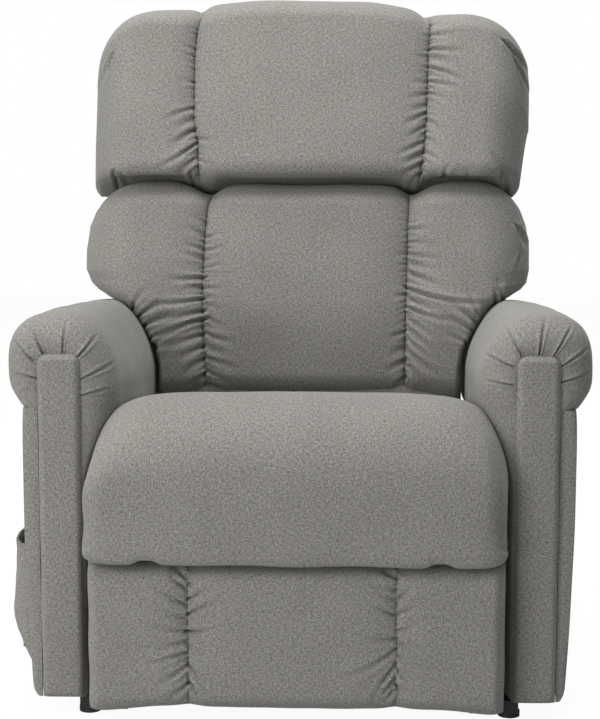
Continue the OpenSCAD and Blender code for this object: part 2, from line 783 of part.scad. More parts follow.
// Half width of the lower back cushion at a length up the back
function lumbar_half(u) = waist_w / 2 + (back_w - waist_w) / 2 * sqrt(1 - pow(1 - clamp01((u - wing_low) / wing_round), 2))
  - 14 * pow(clamp01((u - split_at + 40) / 40), 2);

function lumbar_point(c, t) =
  let (u = lumbar_low + (split_at - lumbar_low) * t,
    x = chamber_x(c, lumbar_mid_w / 2, lumbar_half(u)),
    full = chambers(c, 0.26, 0.3, 0.45, 0.5) * dome(t, 0.14),
    y = cushion_back - lumbar_d * full * (0.94 + 0.06 * sin(180 * t)),
    droop = wing_low - sqrt(wing_low * wing_low - y * y),
    lobe = clamp01((abs(x) - waist_w / 2) / 30) * pow(1 - clamp01((t - wing_share) / 0.3), 2))
  [x, y, u - droop * lobe];

module lumbar_cushion() {
  rows = concat([for (j = [0 : 8]) wing_share * packed(j, 9)],
    [for (j = [0 : 15]) wing_share + (1 - wing_share) * packed(j, 15)]);
  color(fabric) on_back() pad(function(c, t) lumbar_point(c, t), 9, rows);
}

// Top edge of the head cushion: highest in the middle, notched at the seams and rounded at the corners
function head_top(x) = let (a = abs(x), half = back_w / 2 - 4)
  back_len - 7 * exp(-pow((a - head_mid_w / 2) / 16, 2)) - 5 * ease((a - head_mid_w / 2) / 20)
  - 100 * (1 - sqrt(1 - pow(clamp01((a - half + 108) / 108), 2)));

function head_point(c, t) =
  let (half = back_w / 2 - 4,
    x = chamber_x(c, head_mid_w / 2, half),
    low = split_at + 2 + 12 * pow(clamp01((abs(x) - half + 30) / 30), 2),
    u = low + (max(head_top(x), low + 60) - low) * t,
    full = chambers(c, 0.26, 0.3, 0.4, 0.5) * dome(t, 0.17))
  [x, cushion_back - head_d * full * (1 - 0.12 * t), u];

module head_cushion() {
  color(fabric) on_back() pad(function(c, t) head_point(c, t), 9, [for (j = [0 : 20]) packed(j, 20)]);
}

// Curved cover over the rear of the back
shell_low = 4;
shell_d = 80;
shell_t = 5;
shell_y = post_rear + 2;

function shell_half(u) = waist_w / 2 - 3 + (wing_out + 8 - waist_w / 2 + 3) * ease((u - 282) / 46);

function shell_point(s, t, inset) =
  let (u = shell_low + inset + (back_len - 20 - shell_low - 2 * inset) * t,
    half = shell_half(u) - inset - 60 * pow(clamp01((t - 0.88) / 0.12), 2),
    x = half * (2 * s - 1))
  [x, shell_y + (shell_d - inset) * dome(s, 0.25) * dome(t, 0.2), u];

module back_shell() {
  n = 16;
  m = 18;
  outer = [for (j = [0 : m]) for (i = [0 : n]) shell_point(packed(i, n), packed(j, m), 0)];
  inner = [for (j = [0 : m]) for (i = [0 : n]) shell_point(packed(i, n), packed(j, m), shell_t)];
  half = len(outer);
  at = function(i, j) j * (n + 1) + i;
  skin = [for (j = [0 : m - 1]) for (i = [0 : n - 1])
    each [[at(i, j), at(i + 1, j), at(i, j + 1)], [at(i + 1, j), at(i + 1, j + 1), at(i, j + 1)]]];
  rim = [for (i = [0 : n - 1]) at(i, 0), for (j = [0 : m - 1]) at(n, j),
    for (i = [n : -1 : 1]) at(i, m), for (j = [m : -1 : 1]) at(0, j)];
  edge = [for (k = [0 : len(rim) - 1]) let (a = rim[k], b = rim[(k + 1) % len(rim)])
    each [[a, a + half, b], [b, a + half, b + half]]];
  lining = [for (f = skin) [f[0] + half, f[2] + half, f[1] + half]];
  color(fabric) on_back() polyhedron(points = concat(outer, inner), faces = concat(skin, lining, edge));
}

// ---------- footrest ----------

board_front = -420;
board_rear = -405;

module footrest_board() {
  color(timber) box(-foot_w / 2 + 14, foot_w / 2 - 14, board_front, board_rear, foot_low + 8, foot_high - 8);
}

function footrest_point(c, t) =
  let (x = chamber_x(c, foot_mid_w / 2, foot_w / 2),
    notch = 5 * exp(-pow((abs(x) - foot_mid_w / 2) / 14, 2)),
    z = foot_low + notch + (foot_high - foot_low - notch) * t,
    full = chambers(c, 0.34, 0.32, 0.4, 0.28) * dome(t, 0.2))
  [x, board_front - foot_d * full, z];

module footrest_cushion() {
  color(fabric) pad(function(c, t) footrest_point(c, t), 8, [for (j = [0 : 16]) packed(j, 16)]);
}

module footrest_bracket(side) {
  color(steel) on_side(side) difference() {
    union() {
      slab(drive_x, drive_x + link_t) {
        strap([board_pivot, tilt_end], 20);
        translate([board_rear, board_pivot[1] - 24]) square([20, tilt_end[1] - board_pivot[1] + 48]);
      }
      box(drive_x - 24, drive_x, board_rear, board_rear + 3, board_pivot[1] - 24, tilt_end[1] + 24);
      bar_x(board_pivot, 4, long_x, drive_x + 1);
      bar_x(tilt_end, 4, drive_x + 1, tilt_x + link_t);
    }
  }
}

// Footrest links. Each pivot is a stud 8 mm in diameter on one link that runs in a hole in the next.
stud_r = 4;
link_w = 19;

module leg_drive_link(side) {
  color(zinc) on_side(side) {
    difference() {
      slab(drive_x, drive_x + link_t) strap([drive_pivot, drive_end, tilt_start], link_w);
      bar_x(drive_pivot, bolt_r + gap, drive_x - 1, drive_x + link_t + 1);
    }
    bar_x(drive_end, stud_r, long_x, drive_x + tiny);
    bar_x(tilt_start, stud_r, drive_x + link_t - tiny, tilt_x + link_t);
  }
}

module leg_long_link(side) {
  color(zinc) on_side(side) {
    difference() {
      slab(long_x, long_x + link_t) strap([guide_end, drive_end, board_pivot], link_w);
      bar_x(drive_end, stud_r + gap, long_x - 1, long_x + link_t + 1);
      bar_x(board_pivot, stud_r + gap, long_x - 1, long_x + link_t + 1);
    }
    bar_x(guide_end, stud_r, guide_x, long_x + tiny);
  }
}

// The guide link's outer hole is oversize: its loop is opened there
module leg_guide_link(side) {
  color(zinc) on_side(side) difference() {
    slab(guide_x, guide_x + link_t) strap([guide_pivot, guide_end], link_w);
    bar_x(guide_pivot, bolt_r + gap, guide_x - 1, guide_x + link_t + 1);
    bar_x(guide_end, stud_r + 1.4, guide_x - 1, guide_x + link_t + 1);
  }
}

// The tilt link's outer hole is oversize: its loop is opened there
module leg_tilt_link(side) {
  color(zinc) on_side(side) difference() {
    slab(tilt_x, tilt_x + link_t) {
      strap([tilt_start, tilt_end], link_w);
      translate(tilt_end) circle(r = 13);
    }
    bar_x(tilt_start, stud_r + gap, tilt_x - 1, tilt_x + link_t + 1);
    bar_x(tilt_end, stud_r + 4.6, tilt_x - 1, tilt_x + link_t + 1);
  }
}

// ---------- assembly ----------

placed() base_side_rails();
placed() base_cross_tubes();
placed() base_feet();
placed() link_brackets();
placed() base_bolts();
placed() lift_motor_clevis();
placed() lift_link("left");  // lift_link_left
placed() lift_link("right");  // lift_link_right
placed() lift_torsion_tube();
placed() lift_crank();
placed() rear_link("left");  // rear_link_left
placed() rear_link("right");  // rear_link_right
placed() lift_motor_body();
placed() lift_motor_rod();
placed() control_box();
placed() power_inlet();
placed() side_plate("left");  // side_plate_left
placed() side_plate("right");  // side_plate_right
placed() frame_bolts();
placed() seat_side_rails();
placed() seat_cross_rails();
placed() seat_springs();
placed() seat_cushion();
placed() arm_brackets();
placed() arm_frame("left");  // arm_frame_left
placed() arm_frame("right");  // arm_frame_right
placed() arm_cover("left");  // arm_cover_left
placed() arm_cover("right");  // arm_cover_right
placed() arm_outer_panel("left");  // arm_outer_panel_left
placed() arm_outer_panel("right");  // arm_outer_panel_right
placed() arm_front_panel("left");  // arm_front_panel_left
placed() arm_front_panel("right");  // arm_front_panel_right
placed() rear_skirt();
placed() side_pocket();
placed() handset_case();
placed() handset_button(-10);  // recline_button
placed() handset_button(10);  // raise_button
placed() back_motor_body();
placed() back_motor_rod();
placed() back_posts();
placed() back_rails();
placed() back_springs();
placed() lumbar_cushion();
placed() head_cushion();
placed() back_shell();
placed() back_lever();
placed() footrest_board();
placed() footrest_cushion();
placed() footrest_bracket("left");  // footrest_bracket_left
placed() footrest_bracket("right");  // footrest_bracket_right
placed() leg_drive_link("left");  // leg_drive_link_left
placed() leg_drive_link("right");  // leg_drive_link_right
placed() leg_guide_link("left");  // leg_guide_link_left
placed() leg_guide_link("right");  // leg_guide_link_right
placed() leg_long_link("left");  // leg_long_link_left
placed() leg_long_link("right");  // leg_long_link_right
placed() leg_tilt_link("left");  // leg_tilt_link_left
placed() leg_tilt_link("right");  // leg_tilt_link_right
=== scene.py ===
import math

import bpy
import numpy as np
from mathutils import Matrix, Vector


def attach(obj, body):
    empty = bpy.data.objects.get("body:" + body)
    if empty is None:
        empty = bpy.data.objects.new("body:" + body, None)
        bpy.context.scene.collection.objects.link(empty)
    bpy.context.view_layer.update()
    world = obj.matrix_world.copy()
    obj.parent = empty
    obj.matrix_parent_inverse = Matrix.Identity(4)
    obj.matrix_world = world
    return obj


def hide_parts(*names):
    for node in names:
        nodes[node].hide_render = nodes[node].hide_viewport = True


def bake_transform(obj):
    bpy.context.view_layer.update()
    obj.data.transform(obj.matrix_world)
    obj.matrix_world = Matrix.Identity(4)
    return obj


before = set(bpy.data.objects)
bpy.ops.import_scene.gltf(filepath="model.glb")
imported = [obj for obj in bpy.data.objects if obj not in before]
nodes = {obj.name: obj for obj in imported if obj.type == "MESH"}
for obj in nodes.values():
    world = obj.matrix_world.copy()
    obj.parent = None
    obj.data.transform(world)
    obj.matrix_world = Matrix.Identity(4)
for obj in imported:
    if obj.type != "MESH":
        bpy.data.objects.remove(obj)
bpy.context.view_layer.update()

# ---------- camera ----------
# A long lens a little above the arms and a little to the right of the middle, tipped down by 7 degrees.
# The chair's zero line across the seat lies 38 mm behind the origin, and all lengths here are metres.
zero_y = 0.038
camera_data = bpy.data.cameras.new("camera")
camera_data.sensor_fit = "HORIZONTAL"
camera_data.sensor_width = 36
camera_data.lens = 98.5
camera = bpy.data.objects.new("camera", camera_data)
camera.location = (0.093, -2.7 + zero_y, 0.81)
camera.rotation_euler = (math.radians(83), 0, math.radians(2.23))
bpy.context.scene.collection.objects.link(camera)
bpy.context.scene.camera = camera

# ---------- base frame, links and plates ----------
# Square tube and flat bar, welded and powder coated in satin black.
# The coat is slightly uneven, like orange peel, with paler and duller patches.


class Wire:
    """A socket among a material's or the world's nodes. Sums and products of wires add Math nodes."""

    def __init__(self, material, socket=None):
        self.material, self.socket = material, socket

    def node(self, kind, settings=(), inputs=(), out=0):
        made = self.material.node_tree.nodes.new("ShaderNode" + kind)
        for name, value in dict(settings).items():
            setattr(made, name, value)
        for name, value in dict(inputs).items():
            if isinstance(value, Wire):
                self.material.node_tree.links.new(value.socket, made.inputs[name])
            else:
                made.inputs[name].default_value = value
        return Wire(self.material, made.outputs[out])

    def maths(self, operation, *values):
        return self.node("Math", {"operation": operation}, enumerate(values))

    def __add__(self, other):
        return self.maths("ADD", self, other)

    def __mul__(self, other):
        return self.maths("MULTIPLY", self, other)

    __radd__, __rmul__ = __add__, __mul__


def surface(name, **constants):
    """A material with one shader, its constants set on the sockets, and a wire to build on."""
    material = bpy.data.materials.new(name)
    material.use_nodes = True
    shader = material.node_tree.nodes["Principled BSDF"]
    for socket, value in constants.items():
        shader.inputs[socket.replace("_", " ")].default_value = value
    start = Wire(material)

    def to(socket, wire):
        material.node_tree.links.new(wire.socket, shader.inputs[socket])

    return material, start, to


def at_object(start, scale=(1, 1, 1)):
    """Object coordinates, stretched by a scale."""
    place = start.node("TexCoord", out="Object")
    return start.node("Mapping", {}, {"Vector": place, "Scale": scale})


def noise(place, scale, detail=2.0, rough=0.5):
    return place.node("TexNoise", {},
                      {"Vector": place, "Scale": scale, "Detail": detail, "Roughness": rough})


def bump(height, distance, strength=1.0):
    return height.node("Bump", {}, {"Height": height, "Distance": distance, "Strength": strength})


def ramp(factor, *stops):
    """Colours over a wire, from pairs of a place and a colour."""
    made = factor.node("ValToRGB", {}, {"Fac": factor})
    elements = made.socket.node.color_ramp.elements
    for end in (0, -1):
        elements[end].position, elements[end].color = stops[end][0], (*stops[end][1], 1)
    for place, colour in stops[1:-1]:
        elements.new(place).color = (*colour, 1)
    return made


def wear(*names, material):
    """Gives the named solids their material."""
    for name in names:
        nodes[name].data.materials.clear()
        nodes[name].data.materials.append(material)


black_coat, start, to = surface("black_coat", Metallic=0.0, Coat_Roughness=0.35)
place = at_object(start)
peel = noise(place, 900, 1)
patches = noise(place, 14, 4, 0.6)
to("Base Color", ramp(patches, (0.35, (0.012, 0.012, 0.013)), (0.7, (0.030, 0.030, 0.032))))
to("Roughness", 0.34 + 0.22 * patches)
to("Normal", bump(peel, 0.00008))
wear("base_side_rails", "base_cross_tubes", "link_brackets", "lift_motor_clevis", "lift_link_left",
     "lift_link_right", "lift_torsion_tube", "lift_crank", "rear_link_left", "rear_link_right",
     "side_plate_left", "side_plate_right", "seat_side_rails", "seat_cross_rails", "arm_brackets",
     "back_posts", "back_rails", "back_lever", "footrest_bracket_left", "footrest_bracket_right",
     material=black_coat)

# ---------- feet, motor bodies, control box, inlet and handset case ----------
# Injection moulded black nylon with a fine spark-eroded texture, dull on the flats.
# The parts are pinned, screwed or clipped to the steel, and the handset lies loose in its pouch.
black_plastic, start, to = surface("black_plastic", Metallic=0.0)
place = at_object(start)
grain = noise(place, 1400, 2)
cloud = noise(place, 9, 3)
to("Base Color", ramp(cloud, (0.3, (0.010, 0.010, 0.011)), (0.75, (0.024, 0.024, 0.025))))
to("Roughness", 0.46 + 0.2 * grain)
to("Normal", bump(grain, 0.00012))
wear("base_feet", "lift_motor_body", "back_motor_body", "control_box", "power_inlet", "handset_case",
     material=black_plastic)

# ---------- pivot bolts, footrest links, springs and push rods ----------
# Zinc-plated steel: the plating is bright but mottled, with faint streaks along the rolled bar.
# The links are punched from strip and riveted at their pivots, and the springs are bent from wire.
zinc, start, to = surface("zinc", Metallic=1.0)
place = at_object(start, (1, 1, 6))
mottle = noise(place, 60, 4, 0.65)
streak = noise(at_object(start, (30, 240, 240)), 2, 2)
to("Base Color", ramp(mottle * 0.6 + streak * 0.4, (0.3, (0.34, 0.345, 0.35)), (0.7, (0.60, 0.605, 0.61))))
to("Roughness", 0.26 + 0.25 * mottle)
to("Normal", bump(streak, 0.00004))
wear("base_bolts", "lift_motor_rod", "frame_bolts", "seat_springs", "back_motor_rod", "back_springs",
     "leg_drive_link_left", "leg_drive_link_right", "leg_guide_link_left", "leg_guide_link_right",
     "leg_long_link_left", "leg_long_link_right", "leg_tilt_link_left", "leg_tilt_link_right", material=zinc)

# ---------- arm boxes and footrest board ----------
# Plain hardwood plywood, unfinished, with long grain, darker pores and pale sanded faces.
# The boxes are glued and stapled, and the cloth covers nearly all of them.
plywood, start, to = surface("plywood", Metallic=0.0)
grain = noise(at_object(start, (9, 1, 9)), 9, 5, 0.6)
pores = noise(at_object(start, (220, 12, 220)), 2, 2)
to("Base Color", ramp(grain * 0.75 + pores * 0.25, (0.25, (0.34, 0.21, 0.11)),
                      (0.55, (0.52, 0.36, 0.20)), (0.8, (0.62, 0.46, 0.28))))
to("Roughness", 0.55 + 0.25 * pores)
to("Normal", bump(pores, 0.0002))
wear("arm_frame_left", "arm_frame_right", "footrest_board", material=plywood)

# ---------- handset buttons ----------
# Soft-touch pale grey buttons, each moulded in one piece and rubbed smoother in patches.
# They sit in the handset's face and spring back when they are let go.
button_grey, start, to = surface("button_grey", Metallic=0.0)
rub = noise(at_object(start), 120, 3)
to("Base Color", ramp(rub, (0.3, (0.50, 0.50, 0.50)), (0.7, (0.62, 0.62, 0.61))))
to("Roughness", 0.42 + 0.2 * rub)
wear("recline_button", "raise_button", material=button_grey)

# ---------- footrest cushion ----------
# Three fibre-filled chambers of grey chenille over the board. The cover is longer than its seams, so it
# gathers along both of them: the folds fan up near the top, down near the bottom, and lie level between.

# The cloth: thick and thin yarns in a plain weave, in flecks from dark taupe to pale grey
chenille, start, to = surface("chenille", Metallic=0.0, Sheen_Weight=0.18, Sheen_Roughness=0.45,
                             Specular_IOR_Level=0.18)
weave = start.node("UVMap", {"uv_map": "weave"})


def yarn(across, along, detail=2.0):
    """Noise drawn out along one set of threads, by its counts to the metre."""
    stretched = start.node("Mapping", {}, {"Vector": weave, "Scale": (across, along, 1)})
    return start.node("TexNoise", {"noise_dimensions": "2D"},
                      {"Vector": stretched, "Scale": 1.0, "Detail": detail, "Roughness": 0.55})


def through(colour, glass):
    """One colour seen through another."""
    return colour.node("Mix", {"data_type": "RGBA", "blend_type": "MULTIPLY"},
                       {"Factor": 1.0, "A": colour, "B": glass}, out=2)


thread = yarn(190, 620) * 0.5 + yarn(620, 190) * 0.5
fleck = yarn(430, 430, 1.0)
flecks = ramp(thread * 0.7 + fleck * 0.3, (0.35, (0.152, 0.146, 0.136)), (0.50, (0.262, 0.256, 0.244)),
              (0.65, (0.402, 0.396, 0.378)))
tinge = ramp(yarn(90, 260, 1.0), (0.40, (0.96, 0.99, 1.0)), (0.60, (1.0, 0.985, 0.945)))
patchy = ramp(yarn(14, 14, 3.0), (0.3, (0.94, 0.94, 0.94)), (0.7, (1.0, 1.0, 1.0)))
to("Base Color", through(through(flecks, tinge), patchy))
to("Roughness", 0.86 + 0.1 * fleck)
to("Normal", bump(thread, 0.0008, 0.7))


def shares(*cells, even=0.35):
    """Places across one or more chambers, from 0 to their count, closer together at every seam."""
    places = [np.array([0.0])]
    for k, count in enumerate(cells):
        i = np.arange(1, count + 1) / count
        places.append(k + even * i + (1 - even) * (0.5 - 0.5 * np.cos(np.pi * i)))
    return np.concatenate(places)


def dome(t, edge, square=2):
    """0 at both ends of 0..1 and 1 over the middle, rounded over edges of this width."""
    k = np.clip(np.minimum(t, 1 - t) / edge, 0, 1)
    return (1 - (1 - k) ** square) ** (1 / square)


def ease(t):
    """A soft step from 0 to 1 while t runs from 0 to 1."""
    t = np.clip(t, 0, 1)
    return t * t * (3 - 2 * t)


def ripple(x, y, seed, size):
    """Smooth uneven waves of about this size, between -1 and 1, the same each run."""
    rng = np.random.default_rng(seed)
    total = np.zeros_like(x)
    for _ in range(7):
        turn, phase = rng.uniform(0, 2 * np.pi, 2)
        wave = rng.uniform(0.7, 1.5) * 2 * np.pi / size
        total = total + np.sin(wave * (x * np.cos(turn) + y * np.sin(turn)) + phase)
    return total / 7


def fold(x, y, foot, angle, length, depth, width, bend=0.0):
    """Height of one fold in flat cloth: a sharp valley from its foot, with a soft ridge on each side."""
    c, s = math.cos(math.radians(angle)), math.sin(math.radians(angle))
    along = (x - foot[0]) * c + (y - foot[1]) * s
    off = -(x - foot[0]) * s + (y - foot[1]) * c - bend * along * along
    reach = np.clip(along / length, -0.3, 1.3)
    fade = np.clip(np.where(reach < 0, 1 + reach / 0.12, (1 - np.clip(reach, 0, 1)) ** 0.8), 0, 1)
    w = width * (0.55 + 0.7 * np.clip(reach, 0, 1))
    valley = np.exp(-np.abs(off / w) ** 1.5)
    ridge = np.exp(-((np.abs(off) - 2.0 * w) / (1.2 * w)) ** 2)
    return depth * fade * (0.5 * ridge - valley)


def creases(x, y, folds, depth, width, seed):
    """Folds given by foot, angle and length, and where a fourth number follows, a share of the depth."""
    rng = np.random.default_rng(seed)
    total = np.zeros_like(x)
    for foot, angle, length, *share in folds:
        share = share[0] if share else 1
        total += fold(x, y, foot, angle + rng.uniform(-3, 3), 1.25 * length,
                      share * depth * rng.uniform(0.8, 1.15), width * rng.uniform(0.85, 1.25),
                      rng.uniform(-2.5, 2.5))
    return total


def puckers(x, y, seam, low, high, step, angles, depth, seed):
    """Short gathers along both sides of a seam, where the needle has drawn the cloth together."""
    rng = np.random.default_rng(seed)
    total = np.zeros_like(x)
    at = low
    while at < high:
        t = (at - low) / (high - low)
        for side in (-1, 1):
            angle = angles[0] + (angles[1] - angles[0]) * t + rng.uniform(-10, 10)
            foot = (float(seam(at)), at + rng.uniform(-0.002, 0.002))
            total += fold(x, y, foot, angle if side > 0 else 180 - angle, rng.uniform(0.012, 0.024),
                          depth * rng.uniform(0.5, 1.2), rng.uniform(0.0018, 0.0028))
        at += step * rng.uniform(0.7, 1.3)
    return total


def spots(piece):
    """The places of a piece's vertices, one a row."""
    co = np.empty(len(piece.data.vertices) * 3, np.float32)
    piece.data.vertices.foreach_get("co", co)
    return co.reshape(-1, 3).astype(float)


def set_spots(piece, co):
    piece.data.vertices.foreach_set("co", co.astype(np.float32).ravel())


def sheet_of(name, columns, rows, lay):
    """A grid primitive whose vertices are laid out by lay(column, row), with a weave map in metres."""
    bpy.ops.object.select_all(action="DESELECT")
    bpy.ops.mesh.primitive_grid_add(x_subdivisions=len(columns) - 1, y_subdivisions=len(rows) - 1, size=2)
    piece = bpy.context.object
    piece.name = piece.data.name = name
    across, up = np.meshgrid(columns, rows)
    points = lay(across, up)
    set_spots(piece, points)
    run = np.pad(np.cumsum(np.linalg.norm(np.diff(points, axis=1), axis=2), axis=1), ((0, 0), (1, 0)))
    rise = np.pad(np.cumsum(np.linalg.norm(np.diff(points, axis=0), axis=2), axis=0), ((1, 0), (0, 0)))
    run -= run[:, len(columns) // 2, None]
    rise -= rise[len(rows) // 2]
    loops = np.empty(len(piece.data.loops), int)
    piece.data.loops.foreach_get("vertex_index", loops)
    uv = np.stack([run.ravel(), rise.ravel()], 1)[loops]
    for layer in list(piece.data.uv_layers):
        piece.data.uv_layers.remove(layer)
    layer = piece.data.uv_layers.new(name="weave")
    layer.data.foreach_set("uv", uv.astype(np.float32).ravel())
    piece.data.update()
    return piece


def push(piece, heights):
    """Moves each vertex along its own normal."""
    normals = np.empty(len(piece.data.vertices) * 3, np.float32)
    piece.data.vertices.foreach_get("normal", normals)
    set_spots(piece, spots(piece) + normals.reshape(-1, 3) * heights[:, None])
    piece.data.update()


def pick(piece):
    """Makes this the one object that is selected and active."""
    bpy.ops.object.select_all(action="DESELECT")
    piece.select_set(True)
    bpy.context.view_layer.objects.active = piece


def edit(piece, *steps):
    """Runs edit-mode steps on one piece, with nothing selected at the start."""
    pick(piece)
    bpy.ops.object.mode_set(mode="EDIT")
    bpy.ops.mesh.select_all(action="DESELECT")
    for step in steps:
        step()
    bpy.ops.object.mode_set(mode="OBJECT")


def turn_over(piece):
    """Turns a sheet's faces to look the other way."""
    edit(piece, lambda: bpy.ops.mesh.select_all(action="SELECT"), bpy.ops.mesh.flip_normals)


def close_rim():
    """Closes a sheet's open edge with one face."""
    bpy.ops.mesh.select_mode(type="EDGE")
    bpy.ops.mesh.select_non_manifold()
    bpy.ops.mesh.edge_face_add()


def thicken(piece, thickness, offset=-1):
    """Gives a sheet its thickness, on the inside unless the offset says otherwise."""
    solidify = piece.modifiers.new("thickness", "SOLIDIFY")
    solidify.thickness, solidify.offset = thickness, offset
    pick(piece)
    bpy.ops.object.modifier_apply(modifier="thickness")


def dress(piece, material, body, slot, *stands_for):
    """Gives a piece its material, smooth shading and body, and hides the solid it stands for. The slot is
    not used.
    """
    piece.data.materials.clear()
    piece.data.materials.append(material)
    pick(piece)
    bpy.ops.object.shade_smooth_by_angle(angle=math.radians(50))
    if body:
        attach(piece, body)
    if stands_for:
        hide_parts(*stands_for)
    return piece


def three_chambers(c, left, left_seam, right_seam, right):
    """Distance across for a place c, from 0 to 3, over three chambers between two sides and two seams."""
    return np.where(c < 1, left + (left_seam - left) * c,
                    np.where(c < 2, left_seam + (right_seam - left_seam) * (c - 1),
                             right_seam + (right - right_seam) * (c - 2)))


def fullness(c, channel, mid_edge, lobe_edge, side_edge):
    """How full three chambers are: drawn in by channel at the seams, and 0 at the two sides."""
    k = np.minimum(2, np.floor(c))
    t = c - k
    seam = np.where(k == 1, dome(t, mid_edge),
                    np.where(((k == 0) & (t > 0.5)) | ((k == 2) & (t < 0.5)), dome(t, lobe_edge), 1))
    side = np.where(((k == 0) & (t < 0.5)) | ((k == 2) & (t > 0.5)), dome(t, side_edge), 1)
    return (1 - channel * (1 - seam)) * side


# Its two sides and its seams across, its lower and upper edge, how far it stands out, and its board's face
foot_left, foot_right, foot_mid = 0.2985, 0.2955, 0.147
foot_low, foot_high, foot_depth = 0.029, 0.242, 0.046
foot_front = -0.420 + zero_y


def lay_footrest(c, t):
    x = three_chambers(c, -foot_left, -foot_mid - 0.006, foot_mid - 0.006, foot_right)
    near_seam = np.exp(-((np.abs(x + 0.006) - foot_mid) / 0.020) ** 2)
    low = foot_low + 0.003 * near_seam - 0.006 * ease((np.abs(x) - 0.19) / 0.09)
    high = foot_high - 0.004 * near_seam
    full = fullness(c, 0.26, 0.26, 0.34, 0.13) * dome(t, np.where(t < 0.5, 0.13, 0.11))
    return np.stack([x, foot_front - foot_depth * full, low + (high - low) * t], -1)


footrest = sheet_of("footrest_cushion_cover", shares(56, 64, 56), shares(120), lay_footrest)
co = spots(footrest)
folds = [
    ((-0.156, 0.225), 145, 0.023), ((-0.156, 0.211), 140, 0.026), ((-0.156, 0.187), 146, 0.040),
    ((-0.157, 0.167), 158, 0.034), ((-0.155, 0.148), 172, 0.043), ((-0.154, 0.133), -167, 0.037),
    ((-0.155, 0.117), -164, 0.045), ((-0.155, 0.097), -146, 0.040), ((-0.153, 0.072), -134, 0.028),
    ((-0.153, 0.214), 20, 0.012), ((-0.152, 0.194), 26, 0.030), ((-0.153, 0.172), 25, 0.042),
    ((-0.153, 0.147), 3, 0.028), ((-0.152, 0.127), -27, 0.036), ((-0.151, 0.098), -49, 0.042),
    ((-0.150, 0.072), -42, 0.025), ((0.142, 0.226), 150, 0.022), ((0.141, 0.209), 161, 0.037),
    ((0.139, 0.196), 156, 0.024), ((0.139, 0.174), 155, 0.032), ((0.140, 0.139), -176, 0.034),
    ((0.140, 0.124), -140, 0.072), ((0.138, 0.100), -124, 0.060), ((0.137, 0.080), -126, 0.040),
    ((0.137, 0.066), -123, 0.022), ((0.143, 0.199), 32, 0.020), ((0.143, 0.177), 20, 0.026),
    ((0.143, 0.152), 12, 0.023), ((0.143, 0.134), -15, 0.022), ((0.143, 0.117), -38, 0.022),
    ((0.142, 0.098), -48, 0.026), ((0.140, 0.075), -52, 0.018)]
rise = creases(co[:, 0], co[:, 2], folds, 0.0058, 0.0040, 11)
rise += 0.0012 * ripple(co[:, 0], co[:, 2], 5, 0.09)
rise *= np.clip((foot_front - co[:, 1]) / 0.012, 0, 1)
push(footrest, rise)
edit(footrest, close_rim)
dress(footrest, chenille, "footrest", "upholstery", "footrest_cushion")

# ---------- seat cushion ----------
# One deep box of foam with a soft topper, crowned across and rolled over the front edge.
# It sits on the zigzag springs, and its front face hangs down to the footrest.
seat_half, seat_round, link_place, seat_rows = 0.298, 0.034, 0.206, 200
lip_top, links_in = 0.264, 0.006
seat_side = [(0.062, 0.302), (0.062, 0.385), (0.058, 0.402), (0.046, 0.412)]
for i in range(1, 8):
    t = i / 8
    seat_side.append((0.046 - 0.394 * t, 0.412 + 0.060 * (0.8 * t + 0.2 * math.sin(math.pi / 2 * t))))
for i in range(10):
    a = math.radians(10 * i)
    seat_side.append((-0.348 - 0.128 * math.sin(a), 0.362 + 0.112 * math.cos(a)))
seat_side += [(-0.477, 0.350), (-0.4765, 0.295), (-0.476, lip_top), (-0.4745, 0.252), (-0.4690, 0.2440),
              (-0.458, 0.2440), (-0.440, 0.2485), (-0.353, 0.2485)]


def smooth_path(points, places):
    """Points at these shares of the path's length, with its corners eased by Chaikin cutting."""
    for _ in range(3):
        cut = [points[0]]
        for a, b in zip(points[:-1], points[1:]):
            cut += [0.75 * a + 0.25 * b, 0.25 * a + 0.75 * b]
        points = np.array(cut + [points[-1]])
    run = np.concatenate([[0], np.cumsum(np.linalg.norm(np.diff(points, axis=0), axis=1))])
    return np.stack([np.interp(places * run[-1], run, points[:, i]) for i in range(points.shape[1])], 1)


seat_path = smooth_path(np.array(seat_side), np.linspace(0, 1, seat_rows))
tangent = np.gradient(seat_path, axis=0)
tangent /= np.linalg.norm(tangent, axis=1)[:, None]
inward = np.stack([-tangent[:, 1], tangent[:, 0]], 1)


def lay_seat(c, row):
    j = row.astype(int)
    turn = np.clip(np.abs(c) - 1, 0, 1) * math.pi / 2
    flat = np.clip(np.abs(c), 0, 1)
    x = np.sign(c) * (flat * (seat_half - seat_round) + seat_round * np.sin(turn))
    drawn = seat_round * (1 - np.cos(turn)) * (1 - 0.6 * ease((0.30 - seat_path[j, 1]) / 0.04))
    k = np.abs(x) / seat_half
    y = seat_path[j, 0] + inward[j, 0] * drawn
    z = seat_path[j, 1] + inward[j, 1] * drawn
    top = np.clip((z - 0.30) / 0.12, 0, 1)
    front = np.clip((0.05 - y) / 0.45, 0, 1)
    z = z - (0.030 + 0.034 * front) * top * k ** (5 + 3 * front)
    y = y + 0.012 * (1 - top) * k ** 8 * (y < -0.3)
    # The lip gives way where the footrest's links come up under it
    give = np.exp(-((np.abs(x) - link_place) / 0.017) ** 4) * ease((lip_top - z) / 0.012) * (y < -0.3)
    z = z + links_in * give
    return np.stack([x - 0.004 * ease((-0.40 - y) / 0.06), y + zero_y, z], -1)


round_steps = np.linspace(0, 1, 15)
seat_columns = np.concatenate([-2 + round_steps[:-1], np.linspace(-1, 1, 130), 1 + round_steps[1:]])
seat = sheet_of("seat_cushion_cover", seat_columns, np.arange(seat_rows), lay_seat)
co = spots(seat)
rise = 0.0022 * ripple(co[:, 0], co[:, 1] + co[:, 2], 31, 0.20)
